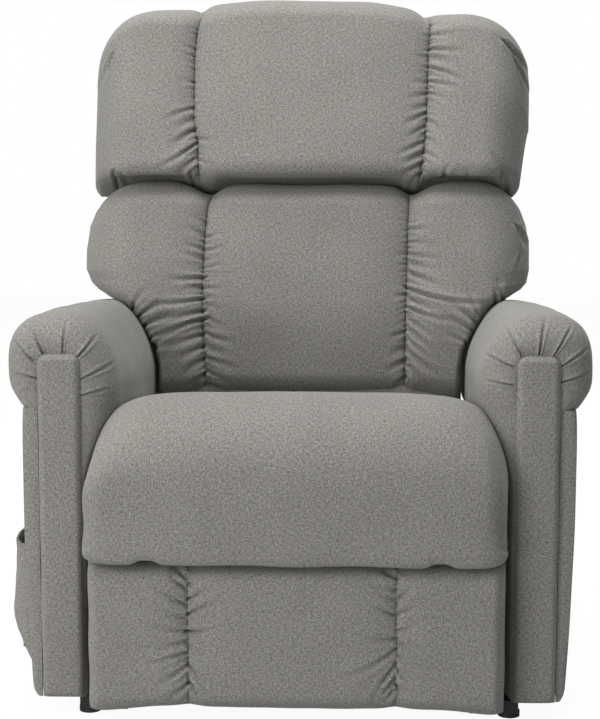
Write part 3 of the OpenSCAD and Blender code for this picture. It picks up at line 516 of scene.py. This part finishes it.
# A few faint folds run in from the corners of the front face
corner_folds = ((0.262, 0.05, 0.003), (0.276, 0.035, 0.0022), (0.30, 0.03, 0.0015), (0.41, 0.04, 0.0016),
                (0.435, 0.05, 0.0016))
for sign, angle in ((-1, -20), (1, 160)):
    for z, length, depth in corner_folds:
        bent = fold(co[:, 0], co[:, 2], (sign * 0.292, z), angle, length, depth, 0.005)
        rise += bent * (co[:, 1] < -0.36)
push(seat, rise)


def close_end(column):
    """Closes the opening along one outer column of the seat's sheet."""
    width = len(seat_columns)
    bpy.ops.mesh.select_mode(type="VERT")
    bpy.ops.mesh.select_all(action="DESELECT")
    bpy.ops.object.mode_set(mode="OBJECT")
    for number in range(column % width, len(seat.data.vertices), width):
        seat.data.vertices[number].select = True
    bpy.ops.object.mode_set(mode="EDIT")
    bpy.ops.mesh.select_mode(type="EDGE")
    bpy.ops.mesh.edge_face_add()


edit(seat, lambda: close_end(0), lambda: close_end(-1),
     lambda: bpy.ops.mesh.select_all(action="DESELECT"), close_rim)
dress(seat, chenille, "chair", "upholstery", "seat_cushion")

# ---------- lower back cushion ----------
# Three fibre-filled chambers sewn to the back's cover. Between the arms it is as wide as the gap, and
# above them its side chambers swell out over the arm tops. The cover gathers along both seams.
pivot_y, pivot_z, lean = 0.170 + zero_y, 0.330, math.radians(12)


def on_back(x, y, u):
    """Turns a place on the upright back, y behind its pivot and u above it, to the leaning back."""
    return np.stack([x, pivot_y + y * math.cos(lean) + u * math.sin(lean),
                     pivot_z - y * math.sin(lean) + u * math.cos(lean)], -1)


def upright(co):
    """The reverse: across, behind the pivot and above it, for places on the leaning back."""
    dy, dz = co[:, 1] - pivot_y, co[:, 2] - pivot_z
    return co[:, 0], dy * math.cos(lean) - dz * math.sin(lean), dy * math.sin(lean) + dz * math.cos(lean)


# The cushions' rear face; up the back, the lower one's lower edge, the line between the two, and where the
# side chambers clear the arms; the lower one's depth. Half the gap between the arms, and the arms' height.
back_front = -0.013
lumbar_low, split, wing_low, lumbar_depth = 0.048, 0.414, 0.2486, 0.117
arm_gap, arm_crest = 0.264, 0.556
lumbar_left_seam = ((0.06, 0.17, 0.24, 0.32, 0.38, 0.42), (-0.179, -0.184, -0.185, -0.183, -0.178, -0.168))
lumbar_right_seam = ((0.06, 0.14, 0.22, 0.33, 0.42), (0.164, 0.164, 0.166, 0.168, 0.172))
# Half widths at heights above the floor: the inside of the arms, over their tops, and the side chambers
lumbar_sides = np.array([(0.450, 0.2640, 0.2640), (0.490, 0.2720, 0.2720), (0.527, 0.3000, 0.3000),
                         (0.554, 0.3270, 0.3250), (0.568, 0.3580, 0.3500), (0.580, 0.3780, 0.3700),
                         (0.592, 0.3900, 0.3800), (0.615, 0.4000, 0.3850), (0.650, 0.4005, 0.3850),
                         (0.690, 0.3960, 0.3780), (0.716, 0.3850, 0.3690), (0.735, 0.3690, 0.3560),
                         (0.760, 0.3480, 0.3420)])


def along(line):
    """The place across of a seam that is given by its heights and places."""
    return lambda u: np.interp(u, *line)


def tier_line(x, y):
    """How far the lower cushion's top puffs up, less at the seams and the outer ends."""
    a = np.abs(x)
    line = 0.020 + 0.006 * ease((a - 0.20) / 0.05) - 0.015 * np.exp(-((a - 0.178) / 0.024) ** 2)
    line -= 0.024 * np.clip((a - 0.28) / 0.10, 0, 1) ** 2
    return line * np.sin(np.pi * np.clip((back_front - y) / 0.125, 0, 1))


def lay_lumbar(c, t):
    u = lumbar_low + (split - lumbar_low) * t
    swell = np.clip((u - 0.15) / 0.10, 0, 1)
    full = fullness(c, 0.25, 0.30, 0.42, 0.15 + 0.29 * swell) * dome(t, np.where(t < 0.5, 0.12, 0.10))
    tuck = 0.20 * np.clip(1 - t / 0.45, 0, 1) ** 1.6
    y = back_front - lumbar_depth * full * (0.94 + 0.06 * np.sin(np.pi * t) - tuck)
    z = pivot_z - y * math.sin(lean) + u * math.cos(lean)
    # The rear of the chambers stays between the arms, and only their fronts swell over the arm tops
    forward, above = ease((back_front - 0.004 - y) / 0.05), ease((z - arm_crest) / 0.012)
    over = np.where(u < wing_low, np.maximum(forward, above), 1)
    left, right = [arm_gap + (np.interp(z, lumbar_sides[:, 0], lumbar_sides[:, k]) - arm_gap) * over
                   for k in (1, 2)]
    x = three_chambers(c, -left, along(lumbar_left_seam)(u), along(lumbar_right_seam)(u), right)
    top = np.clip((t - 0.5) / 0.3, 0, 1)
    corner = 0.014 * ease((np.abs(x) - 0.19) / 0.05) * np.clip(1 - t / 0.2, 0, 1)
    return on_back(x, y, u + (tier_line(x, y) - 0.001) * top - corner)


share = (wing_low - lumbar_low) / (split - lumbar_low)
lumbar_rows = np.concatenate([shares(100) * share, (share + shares(110) * (1 - share))[1:]])
lumbar = sheet_of("lower_back_cover", shares(66, 72, 66), lumbar_rows, lay_lumbar)
x, y, u = upright(spots(lumbar))
folds = [
    ((-0.178, 0.352), 152, 0.030, 0.4), ((-0.178, 0.330), 158, 0.036, 0.5),
    ((-0.178, 0.306), 166, 0.040, 0.6), ((-0.179, 0.289), 163, 0.050, 0.5),
    ((-0.180, 0.259), -168, 0.053, 0.9), ((-0.181, 0.240), -174, 0.024, 0.7),
    ((-0.181, 0.222), -164, 0.085, 1.0), ((-0.181, 0.202), -154, 0.055, 1.0),
    ((-0.181, 0.186), -166, 0.105, 1.2), ((-0.180, 0.162), -152, 0.058, 1.1),
    ((-0.180, 0.141), -150, 0.040, 0.8), ((-0.180, 0.120), -141, 0.042, 0.9),
    ((-0.176, 0.097), -136, 0.034, 0.8), ((-0.292, 0.190), 34, 0.040, 1.4),
    ((-0.286, 0.172), 24, 0.050, 1.2), ((-0.280, 0.150), 18, 0.044, 1.0),
    ((-0.275, 0.130), 22, 0.034, 0.8), ((-0.306, 0.200), 62, 0.040, 0.9),
    ((-0.174, 0.330), 14, 0.022, 0.4), ((-0.174, 0.305), 10, 0.026, 0.4), ((-0.175, 0.276), 7, 0.024, 0.4),
    ((-0.176, 0.240), -12, 0.022, 0.5), ((-0.176, 0.212), -22, 0.022, 0.5),
    ((-0.176, 0.189), -30, 0.028, 0.7), ((-0.174, 0.160), -24, 0.040, 1.0),
    ((-0.174, 0.138), -26, 0.028, 0.7), ((-0.174, 0.120), -19, 0.044, 1.0),
    ((-0.173, 0.097), -34, 0.038, 1.0), ((-0.170, 0.076), -34, 0.030, 0.8),
    ((0.165, 0.300), -170, 0.020, 0.3), ((0.165, 0.230), -166, 0.022, 0.4),
    ((0.165, 0.168), -150, 0.028, 0.7), ((0.165, 0.140), -150, 0.024, 0.6),
    ((0.165, 0.119), -146, 0.032, 0.8), ((0.165, 0.091), -125, 0.030, 0.8),
    ((0.171, 0.345), -12, 0.030, 0.6), ((0.171, 0.322), -16, 0.030, 0.6),
    ((0.171, 0.300), -20, 0.040, 0.9), ((0.173, 0.285), -22, 0.030, 0.7),
    ((0.173, 0.267), -27, 0.046, 1.0), ((0.173, 0.239), -28, 0.120, 1.3),
    ((0.173, 0.222), -30, 0.044, 0.9), ((0.173, 0.206), -32, 0.060, 1.0),
    ((0.173, 0.186), -40, 0.040, 0.8), ((0.173, 0.168), -45, 0.046, 1.0),
    ((0.173, 0.150), -48, 0.036, 0.8), ((0.173, 0.130), -50, 0.048, 1.0),
    ((0.173, 0.106), -54, 0.036, 0.9), ((0.281, 0.184), 138, 0.050, 1.4),
    ((0.285, 0.196), 112, 0.048, 1.2), ((0.276, 0.168), 152, 0.044, 1.0),
    ((0.270, 0.146), 160, 0.036, 0.8), ((0.331, 0.217), 99, 0.040, 1.1), ((0.318, 0.214), 84, 0.034, 1.0),
    ((0.356, 0.352), -60, 0.036, 1.2), ((0.362, 0.300), -96, 0.030, 0.8)]
rise = creases(x, u, folds, 0.0052, 0.0044, 45)
rise += puckers(x, u, along(lumbar_left_seam), 0.08, 0.37, 0.011, (-40, 12), 0.0014, 46)
rise += puckers(x, u, along(lumbar_right_seam), 0.08, 0.37, 0.011, (-45, -5), 0.0014, 47)
rise += 0.0022 * ripple(x, u, 48, 0.15)
rise *= np.clip((back_front - y) / 0.015, 0, 1)
push(lumbar, rise)
edit(lumbar, close_rim)
dress(lumbar, chenille, "back", "upholstery", "lumbar_cushion")

# ---------- head cushion ----------
# The upper tier, fuller than the lower one and hanging over it, also in three chambers.
# The middle stands highest, the outer corners are round, and their lower ends are pinched by the tack seam.
head_half, back_len, head_depth = 0.385, 0.758, 0.134
mid_half = 0.197
head_left_seam = ((0.40, 0.44, 0.49, 0.53, 0.65, 0.70, 0.76),
                  (-0.193, -0.194, -0.196, -0.203, -0.204, -0.200, -0.188))
head_right_seam = ((0.40, 0.44, 0.474, 0.546, 0.654, 0.726, 0.76),
                   (0.186, 0.190, 0.195, 0.200, 0.203, 0.207, 0.208))


def head_top(x):
    """The height of the top over the middle chamber and over the two lower side chambers."""
    a = np.abs(x)
    middle = 0.765 - 0.009 * ((x + 0.040) / 0.165) ** 2
    middle = middle - 0.013 * np.clip(1 - (mid_half - a) / 0.034, 0, 1) ** 2
    middle += 0.004 * np.exp(-((x - 0.105) / 0.045) ** 2)
    side = np.where(x < 0, 0.748, 0.7385) - 0.004 * np.clip(1 - (a - mid_half) / 0.020, 0, 1) ** 2
    side = side - 0.112 * (1 - np.sqrt(1 - np.clip((a - head_half + 0.122) / 0.122, 0, 1) ** 2))
    return np.where(a < mid_half, middle, side)


def lay_head(c, t):
    u0 = split + (back_len - split) * t
    pinch = 0.010 * np.clip(1 - t / 0.08, 0, 1) ** 2
    left = head_half + 0.003 - 0.003 * t - pinch
    right = head_half - 0.019 * np.clip(1 - t / 0.55, 0, 1) - pinch
    x = three_chambers(c, -left, along(head_left_seam)(u0), along(head_right_seam)(u0), right)
    low = split + 0.002
    u = low + (np.maximum(head_top(x), low + 0.06) - low) * t
    full = fullness(c, 0.24, 0.28, 0.36, 0.46) * dome(t, 0.155, np.where(t < 0.5, 3.6, 2))
    y = back_front - head_depth * full * (1 - 0.12 * t)
    return on_back(x, y, u + (tier_line(x, y) + 0.001) * np.clip(1 - t / 0.3, 0, 1))


head = sheet_of("head_cushion_cover", shares(62, 76, 62), shares(170), lay_head)
x, y, u = upright(spots(head))
folds = [
    ((-0.204, 0.660), 175, 0.022, 0.3), ((-0.204, 0.600), 178, 0.024, 0.3),
    ((-0.203, 0.554), -150, 0.050, 0.8), ((-0.202, 0.536), -142, 0.024, 0.7),
    ((-0.201, 0.515), -136, 0.042, 1.1), ((-0.199, 0.489), -132, 0.064, 1.1),
    ((-0.198, 0.464), -130, 0.040, 0.8), ((-0.206, 0.440), -112, 0.022, 1.0),
    ((-0.340, 0.442), -108, 0.026, 1.2), ((-0.325, 0.428), 96, 0.020, 0.5),
    ((-0.346, 0.650), -116, 0.044, 1.1), ((-0.196, 0.500), -20, 0.022, 0.3),
    ((-0.192, 0.462), -28, 0.024, 0.4), ((0.203, 0.640), 178, 0.024, 0.3),
    ((0.202, 0.600), -172, 0.030, 0.4), ((0.201, 0.579), -160, 0.030, 0.6),
    ((0.200, 0.560), -150, 0.026, 0.5), ((0.198, 0.545), -142, 0.038, 0.9),
    ((0.196, 0.520), -146, 0.030, 0.8), ((0.195, 0.495), -146, 0.044, 1.1),
    ((0.193, 0.474), -148, 0.034, 0.9), ((0.192, 0.456), -150, 0.040, 1.0),
    ((0.190, 0.440), -140, 0.030, 0.9), ((0.208, 0.700), -6, 0.026, 0.4),
    ((0.208, 0.682), -12, 0.030, 0.5), ((0.208, 0.657), -16, 0.042, 0.9),
    ((0.208, 0.640), -20, 0.026, 0.6), ((0.207, 0.624), -22, 0.050, 1.0),
    ((0.206, 0.600), -22, 0.040, 0.9), ((0.205, 0.579), -28, 0.030, 0.6),
    ((0.202, 0.530), -40, 0.030, 0.6), ((0.199, 0.500), -44, 0.026, 0.6),
    ((0.198, 0.474), -34, 0.030, 0.6), ((0.230, 0.430), 84, 0.018, 0.9), ((0.270, 0.430), 96, 0.014, 0.7),
    ((0.352, 0.408), 112, 0.050, 1.3), ((0.330, 0.440), 116, 0.030, 1.0),
    ((0.334, 0.668), -44, 0.050, 1.5), ((0.350, 0.640), -56, 0.046, 1.2)]
rise = creases(x, u, folds, 0.0052, 0.0042, 55)
rise += puckers(x, u, along(head_left_seam), 0.44, 0.70, 0.012, (-40, 5), 0.0013, 56)
rise += puckers(x, u, along(head_right_seam), 0.44, 0.71, 0.010, (-45, 0), 0.0017, 57)
rise += 0.0024 * ripple(x, u, 58, 0.16)
rise *= np.clip((back_front - y) / 0.015, 0, 1)
push(head, rise)
edit(head, close_rim)
dress(head, chenille, "back", "upholstery", "head_cushion")

# ---------- closing cloth behind the seat ----------
# A loose strip of the same cloth from the rear of the seat to the underside of the lower back cushion.
# It hangs in one slack fold, the slack it needs to open out over the frame as the back leans.
apron_half, apron_rows = 0.250, 60
apron_path = smooth_path(np.array([(0.054, 0.386), (0.066, 0.378), (0.070, 0.350), (0.078, 0.336),
                                   (0.086, 0.350), (0.092, 0.385), (0.1025, 0.421)]),
                         np.linspace(0, 1, apron_rows))


def lay_apron(s, row):
    j = row.astype(int)
    x = apron_half * s
    slack = 0.004 * np.sin(x * 40) * dome(row / (apron_rows - 1), 0.4)
    return np.stack([x, apron_path[j, 0] + zero_y, apron_path[j, 1] - slack], -1)


apron = sheet_of("seat_back_apron", np.linspace(-1, 1, 90), np.arange(apron_rows), lay_apron)
thicken(apron, 0.002)
dress(apron, chenille, None, "upholstery")
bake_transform(apron)

# ---------- cover over the rear of the back ----------
# A fitted cover of the same cloth over a foam-faced board, with two upright seams.
# Its edges come forward round the steel posts, to where they are tacked behind the cushions.
shell_low, shell_high, shell_round = -0.034, back_len - 0.020, 0.060


def lay_shell(s, t):
    across = 2 * s - 1
    u = shell_low + (shell_high - shell_low) * t
    corner = np.clip((u - shell_high + shell_round) / shell_round, 0, 1)
    half = 0.252 + 0.098 * ease((u - 0.282) / 0.046) - shell_round * (1 - np.sqrt(1 - corner ** 2))
    seam = 0.004 * np.exp(-((np.abs(across) - 0.62) / 0.02) ** 2)
    y = 0.025 + 0.080 * dome(s, 0.25) * dome(t, 0.2) - seam * dome(s, 0.3)
    return on_back(half * across, y, u)


shell = sheet_of("back_cover", shares(110), shares(120), lay_shell)
x, y, u = upright(spots(shell))
push(shell, 0.0014 * ripple(x, u, 61, 0.16) * np.clip((y - 0.03) / 0.02, 0, 1))


def gusset():
    """Draws the cover's rim forward, round the posts, in three strips."""
    strip = 0.012
    forward = (0, -strip * math.cos(lean), strip * math.sin(lean))
    bpy.ops.mesh.select_mode(type="EDGE")
    bpy.ops.mesh.select_non_manifold()
    for _ in range(3):
        bpy.ops.mesh.extrude_region_move(TRANSFORM_OT_translate={"value": forward})


edit(shell, gusset)
thicken(shell, 0.004)
dress(shell, chenille, "back", "upholstery", "back_shell")

# ---------- arm covers ----------
# Each arm is a padded roll in one piece of cloth, drawn round the front and pleated into the edge of the
# front panel with seven small tucks. It runs down the inside of the arm and under the roll outside.
arm_front, arm_rear, front_turn, rear_turn = -0.400, 0.270, 0.062, 0.014
roll_mid, body_out, panel_low, inner_low, cover_low = 0.338, 0.394, 0.030, 0.034, 0.452
# Where the inner faces may meet the seat, and how far off its sides they are kept
near_side, near_top, seat_gap = 0.31, 0.49, 0.0012
inner_places = np.concatenate([np.linspace(0, 0.7, 34)[:-1], np.linspace(0.7, 1, 120)])
outer_places = np.concatenate([np.linspace(0, 0.75, 112)[:-1], np.linspace(0.75, 1, 18)])


def roll_section(fall):
    """The roll's section at a share of the arm's length: up the inner face and over, then down to the lip.

    The front is round. Towards the rear it hangs lower, like a pear, and fills out down to the seat.
    """
    top = 0.590 - 0.034 * fall ** 1.5
    rear = ease(fall / 0.7)
    a = np.linspace(0, math.pi / 2, 14)
    n = 1 + 0.16 * rear
    inside, mid_z = 0.2585 + 0.0085 * rear, 0.487 - 0.037 * rear
    front_side = np.array([(0.300, inner_low), (0.300, 0.360), (0.293, 0.395), (0.272, 0.425),
                           (0.2625, 0.452), (0.2600, 0.475)])
    rear_side = np.array([(0.300, inner_low), (0.300, 0.330), (0.292, 0.358), (0.272, 0.378),
                          (0.267, 0.400), (0.267, 0.440)])
    quarter = np.stack([roll_mid - (roll_mid - inside) * np.cos(a) ** n,
                        mid_z + (top - mid_z) * np.sin(a) ** n], 1)
    inner = np.concatenate([front_side * (1 - rear) + rear_side * rear, quarter])
    outer = list(zip(roll_mid + 0.084 * np.sin(a) ** 0.7, 0.510 + (top - 0.510) * np.cos(a) ** 0.7))
    outer += [(0.4215, 0.494), (0.4190, 0.482), (0.410, 0.465), (0.4010, 0.451), (body_out, 0.4565)]
    return np.concatenate([smooth_path(inner, inner_places), smooth_path(np.array(outer), outer_places)[1:]])


# The front panel's arch, inner half and outer half, where the roll's cloth begins
arch_inner = np.array([(0.310, inner_low), (0.310, 0.500), (0.3105, 0.517), (0.316, 0.529),
                       (0.327, 0.5335), (0.340, 0.5335)])
arch_outer = np.array([(0.340, 0.5335), (0.353, 0.5335), (0.364, 0.529), (0.3695, 0.517),
                       (0.370, 0.500), (0.370, 0.456)])
arch_section = np.concatenate([smooth_path(arch_inner, inner_places),
                               smooth_path(arch_outer, outer_places)[1:]])


def arm_cover(name, side, node, tucks):
    """The roll of one arm: its sections at each place along the arm, then its tucks, fitted to the seat."""
    def lay(column, t):
        # t runs along the arm: 0 to 1 round the front, 1 to 2 along the length, 2 to 3 across the rear end.
        t = t[:, :1]
        turn = np.clip(t, 0, 1) * math.pi / 2
        straight = arm_rear - arm_front - front_turn - rear_turn
        y = arm_front + front_turn * (1 - np.cos(turn)) + np.clip(t - 1, 0, 1) * straight
        falls = (y[:, 0] - arm_front) / (arm_rear - arm_front)
        roll = np.stack([roll_section(min(1, fall)) for fall in falls])
        x, z = roll[..., 0], roll[..., 1]
        r = np.sin(turn)
        x, z = arch_section[None, :, 0] * (1 - r) + x * r, arch_section[None, :, 1] * (1 - r) + z * r
        around = np.clip((t - 2) / 0.5, 0, 1) * math.pi / 2
        y = y + rear_turn * np.sin(around)
        heart = np.minimum(z, 0.50)
        reach = np.hypot(x - roll_mid, z - heart)
        inset = 1 - rear_turn * (1 - np.cos(around)) / np.maximum(reach, 0.02)
        inset = inset * (1 - np.clip((t - 2.5) / 0.5, 0, 1))
        x, z = roll_mid + (x - roll_mid) * inset, heart + (z - heart) * inset
        return np.stack([side * x, np.broadcast_to(y, x.shape) + zero_y, z], -1)

    columns = np.arange(len(arch_section))
    rows = np.concatenate([np.linspace(0, 1, 84), np.linspace(1, 2, 76)[1:], np.linspace(2, 3, 16)[1:]])
    cover = sheet_of(name, columns, rows, lay)
    if side < 0:
        turn_over(cover)
    co = spots(cover)
    x, y, z = side * co[:, 0], co[:, 1] - zero_y, co[:, 2]
    t = np.repeat(rows, len(columns))
    front = np.clip(2 - t, 0, 1) * ease((arm_front + front_turn + 0.01 - y) / 0.03)
    rise = creases(x, z, tucks, 0.0052, 0.0019, 73 + side) * front
    puff = 0.0050 * np.sin(np.pi * np.clip(t / 0.9, 0, 1) ** 0.7) * ease((z - 0.44) / 0.05)
    waves = 0.0018 * ripple(x + y, z + 0.4 * y, 71 + side, 0.16)
    rise += puff * (t < 1) + waves * np.clip(t * 4, 0, 1) * (t < 2)
    push(cover, rise)
    co = spots(cover)
    bpy.context.view_layer.update()
    # Where the inner face would cut into the seat, it is laid against the seat's side
    for number in np.flatnonzero((z < near_top) & (x < near_side)):
        hit, point, *_ = seat.ray_cast((0, co[number, 1], co[number, 2]), (side, 0, 0))
        if hit and side * co[number, 0] < side * point.x + seat_gap:
            co[number, 0] = point.x + side * seat_gap
    set_spots(cover, co)
    thicken(cover, 0.003)
    dress(cover, chenille, "chair", "upholstery", node)


arm_cover("arm_roll_left", 1, "arm_cover_left", [
    ((0.303, 0.519), 158, 0.032), ((0.303, 0.493), 173, 0.028), ((0.315, 0.535), 113, 0.036),
    ((0.340, 0.537), 82, 0.040), ((0.360, 0.534), 61, 0.038), ((0.370, 0.519), 34, 0.038),
    ((0.372, 0.497), 16, 0.034)])
arm_cover("arm_roll_right", -1, "arm_cover_right", [
    ((0.372, 0.499), 15, 0.035), ((0.376, 0.525), 45, 0.034), ((0.362, 0.536), 66, 0.034),
    ((0.334, 0.537), 94, 0.034), ((0.311, 0.531), 130, 0.028), ((0.306, 0.499), 152, 0.038),
    ((0.306, 0.475), 167, 0.028)])

# ---------- front panels of the arms ----------
# Narrow boards with flat-arched tops, wrapped in thin foam and the same cloth.
# Each is pressed on with hidden nails over the raw ends of the pleats, and covers the front of an arm box.
panel_in, panel_out, panel_top, arch_round = 0.308, 0.372, 0.535, 0.018


def front_panel(name, side, node):
    """The face of one arm: the board's arched outline, domed by its foam."""
    def lay(s, t):
        flat = 2 * s - 1
        z = panel_low + (panel_top - panel_low) * t
        corner = np.clip((z - panel_top + arch_round) / arch_round, 0, 1)
        half = (panel_out - panel_in) / 2 - 0.0005 - 0.014 * (1 - np.sqrt(1 - corner ** 2))
        x = (panel_in + panel_out) / 2 + half * flat
        full = dome(s, 0.16) * dome(t, 0.022)
        y = arm_front + 0.004 - (0.0125 + 0.003 * np.sqrt(np.clip(1 - flat ** 2, 0, 1))) * full
        return np.stack([side * x, y + zero_y, z], -1)

    panel = sheet_of(name, shares(44), shares(170), lay)
    if side < 0:
        turn_over(panel)
    co = spots(panel)
    push(panel, 0.0007 * ripple(co[:, 0], co[:, 2], 81 + side, 0.12))
    edit(panel, close_rim)
    dress(panel, chenille, "chair", "upholstery", node)


front_panel("arm_face_left", 1, "arm_front_panel_left")
front_panel("arm_face_right", -1, "arm_front_panel_right")

# ---------- outside panels of the arms ----------
# A strip of cloth over card from the edge of the front panel, round the side and across the rear end,
# tacked under the roll at the top and under the frame at the bottom. Its lower front corner is rounded.
wrap_steps, face_edge = 150, 0.374
wrap_line = np.array([(0.372, -0.3985), (0.386, -0.3985), (0.3925, -0.396), (0.394, -0.388),
                      (0.3955, -0.1), (0.394, 0.262), (0.392, 0.2705), (0.384, 0.272), (0.318, 0.272)])
wrap = smooth_path(wrap_line, np.linspace(0, 1, wrap_steps))
lift = 0.020 * (1 - np.sqrt(1 - np.clip((wrap[:, 0] - face_edge) / 0.021, 0, 1) ** 2))
lift *= np.clip((-0.34 - wrap[:, 1]) / 0.05, 0, 1)


def panel_taper(z):
    """How far the outside of an arm draws in towards the floor."""
    return 0.008 * ease((0.33 - z) / 0.30)


def outside_panel(name, side, node):
    """The side of one arm, wrapped along one line from its front to its rear."""
    def lay(s, t):
        j = s.astype(int)
        low = panel_low + 0.001 + lift[j]
        z = low + (cover_low + 0.004 - low) * t
        crown = 0.003 * dome(t, 0.3) * (np.abs(wrap[j, 0] - 0.395) < 0.004)
        taper = panel_taper(z) * ease((wrap[j, 0] - face_edge) / 0.018)
        return np.stack([side * (wrap[j, 0] + crown - taper), wrap[j, 1] + zero_y, z], -1)

    panel = sheet_of(name, np.arange(wrap_steps), shares(80, even=0.7), lay)
    if side < 0:
        turn_over(panel)
    co = spots(panel)
    rise = 0.0012 * ripple(co[:, 1], co[:, 2], 91 + side, 0.18)
    if side < 0:
        # The weight of the pouch pulls a few small creases into the front edge
        pulls = [((-0.372, 0.247), 188, 0.020), ((-0.371, 0.281), 200, 0.010),
                 ((-0.372, 0.274), 184, 0.014, 0.7)]
        rise += creases(co[:, 0], co[:, 2], pulls, 0.0024, 0.0018, 92) * (co[:, 1] - zero_y < -0.385)
    push(panel, rise)
    thicken(panel, 0.003)
    dress(panel, chenille, "chair", "upholstery", node)


outside_panel("arm_side_left", 1, "arm_outer_panel_left")
outside_panel("arm_side_right", -1, "arm_outer_panel_right")

# ---------- rear skirt ----------
# A plain panel of cloth over card, stapled across the rear of the arm boxes below the back.
# Its lower edge is a turned hem that stops short of the floor.
skirt_half, skirt_low, skirt_high, skirt_back = 0.318, 0.050, 0.268, 0.268


def lay_skirt(s, t):
    x = skirt_half * (2 * s - 1)
    z = skirt_low + (skirt_high - skirt_low) * t
    y = skirt_back - 0.002 * dome(s, 0.2) * dome(t, 0.3) + zero_y
    hem = 0.0012 * np.exp(-((z - skirt_low - 0.018) / 0.0015) ** 2)
    return np.stack([x, y - hem, z], -1)


skirt = sheet_of("rear_panel", np.linspace(0, 1, 90), np.linspace(0, 1, 60), lay_skirt)
turn_over(skirt)
co = spots(skirt)
push(skirt, 0.001 * ripple(co[:, 0], co[:, 2], 95, 0.14))
thicken(skirt, 0.003)
dress(skirt, chenille, "chair", "upholstery", "rear_skirt")

# ---------- side pocket ----------
# A pouch of the same cloth on the sitter's right arm, sewn on along its sides and its gathered lower edge.
# Its mouth is drawn in by elastic, and it holds the handset.
pocket_y, pocket_half, mouth, gathers = -0.290, 0.095, 0.240, 0.0125
pocket_heights = (0.075, 0.080, 0.087, 0.095, 0.103, 0.118, 0.135, 0.149, 0.170, 0.195, 0.210, 0.232, 0.240,
                  0.250, 0.254)
pocket_depths = (-0.006, -0.003, 0.004, 0.012, 0.018, 0.027, 0.031, 0.032, 0.030, 0.027, 0.025, 0.0232,
                 0.0226, 0.0236, 0.0242)


def lay_pocket(s, t):
    flat = 2 * s - 1
    z = pocket_heights[0] + (pocket_heights[-1] - pocket_heights[0]) * t
    taper = panel_taper(z)
    out = (np.interp(z, pocket_heights, pocket_depths) + taper) * dome(s, 0.42) - taper
    narrow = 1 - 0.05 * np.exp(-((z - 0.238) / 0.010) ** 2)
    return np.stack([-body_out - 0.001 - out, pocket_y + pocket_half * flat * narrow + zero_y, z], -1)


pocket = sheet_of("side_pouch", shares(120, even=0.6), np.linspace(0, 1, 100), lay_pocket)
co = spots(pocket)
run = co[:, 1] + 0.002 * np.sin(co[:, 1] * 70)
gather = np.exp(-((co[:, 2] - mouth) / 0.018) ** 2) + 0.6 * np.exp(-((co[:, 2] - 0.090) / 0.014) ** 2)
rise = 0.0022 * gather * np.sin(run * 2 * np.pi / gathers + 1.3 * np.sin(run * 40))
rise += 0.0018 * ripple(co[:, 1], co[:, 2], 97, 0.06)
push(pocket, rise * dome((co[:, 1] - zero_y - pocket_y + pocket_half) / (2 * pocket_half), 0.1))
thicken(pocket, 0.002, 0)
dress(pocket, chenille, "chair", "upholstery", "side_pocket")

# ---------- floor and light ----------
# A white sweep under a large soft top light, with a key, a lower lamp and a side lamp from the left.
# A weak lamp fills from the front and another lights the rear. The world is dim but is seen white.
bpy.ops.object.select_all(action="DESELECT")
bpy.ops.mesh.primitive_plane_add(size=14, location=(0, 0, 0))
floor = bpy.context.object
floor.name = "floor"


def show_through(owner, end, under, share, over):
    """Shows one shader over another by a share, at the end of a material or a world."""
    nodes_of = owner.node_tree.nodes
    mixed = share.node("MixShader", {}, {0: share, 1: Wire(owner, nodes_of[under].outputs[0]), 2: over})
    owner.node_tree.links.new(mixed.socket, nodes_of[end].inputs["Surface"])


floor_white, start, to = surface("floor_white", Base_Color=(0.50, 0.50, 0.50, 1), Roughness=0.9)
glow = start.node("Emission", {}, {"Color": (1, 1, 1, 1), "Strength": 1.18})
seen = start.node("LightPath", out="Is Camera Ray") * 0.80
show_through(floor_white, "Material Output", "Principled BSDF", seen, glow)
floor.data.materials.append(floor_white)

world = bpy.data.worlds.new("studio")
bpy.context.scene.world = world
world.use_nodes = True
dim = world.node_tree.nodes["Background"]
dim.inputs["Color"].default_value = (0.98, 0.98, 1.0, 1)
dim.inputs["Strength"].default_value = 0.21
start = Wire(world)
rays = start.node("LightPath", out="Is Camera Ray")
seen = rays
for ray in ("Is Glossy Ray", "Is Transmission Ray"):
    seen = start.maths("MAXIMUM", seen, Wire(world, rays.socket.node.outputs[ray]))
white = start.node("Background", {}, {"Color": (1, 1, 1, 1)})
show_through(world, "World Output", "Background", seen, white)


def lamp(name, place, size, power, colour):
    """A round soft lamp, aimed at the middle of the chair."""
    aim = Vector((0, 0, 0.6))
    light = bpy.data.lights.new(name, "AREA")
    light.shape, light.size, light.energy, light.color = "DISK", size, power, colour
    made = bpy.data.objects.new(name, light)
    made.location = place
    made.rotation_euler = (aim - Vector(place)).to_track_quat("-Z", "Y").to_euler()
    bpy.context.scene.collection.objects.link(made)


lamp("key", (-1.9, -2.0, 2.1), 1.6, 27, (1.0, 0.98, 0.95))
lamp("top", (0.0, -0.2, 2.9), 1.8, 53, (1.0, 0.985, 0.96))
lamp("low_left", (-1.7, -2.6, 0.5), 1.4, 26, (1.0, 0.985, 0.96))
lamp("side", (-2.6, -0.2, 1.3), 1.8, 10, (1.0, 0.98, 0.95))
lamp("front", (0.1, -3.1, 1.0), 1.8, 5, (1.0, 0.99, 0.97))
lamp("rear", (0.9, 2.9, 1.3), 2.0, 18, (1.0, 0.99, 0.97))

bpy.context.scene.view_settings.view_transform = "Standard"
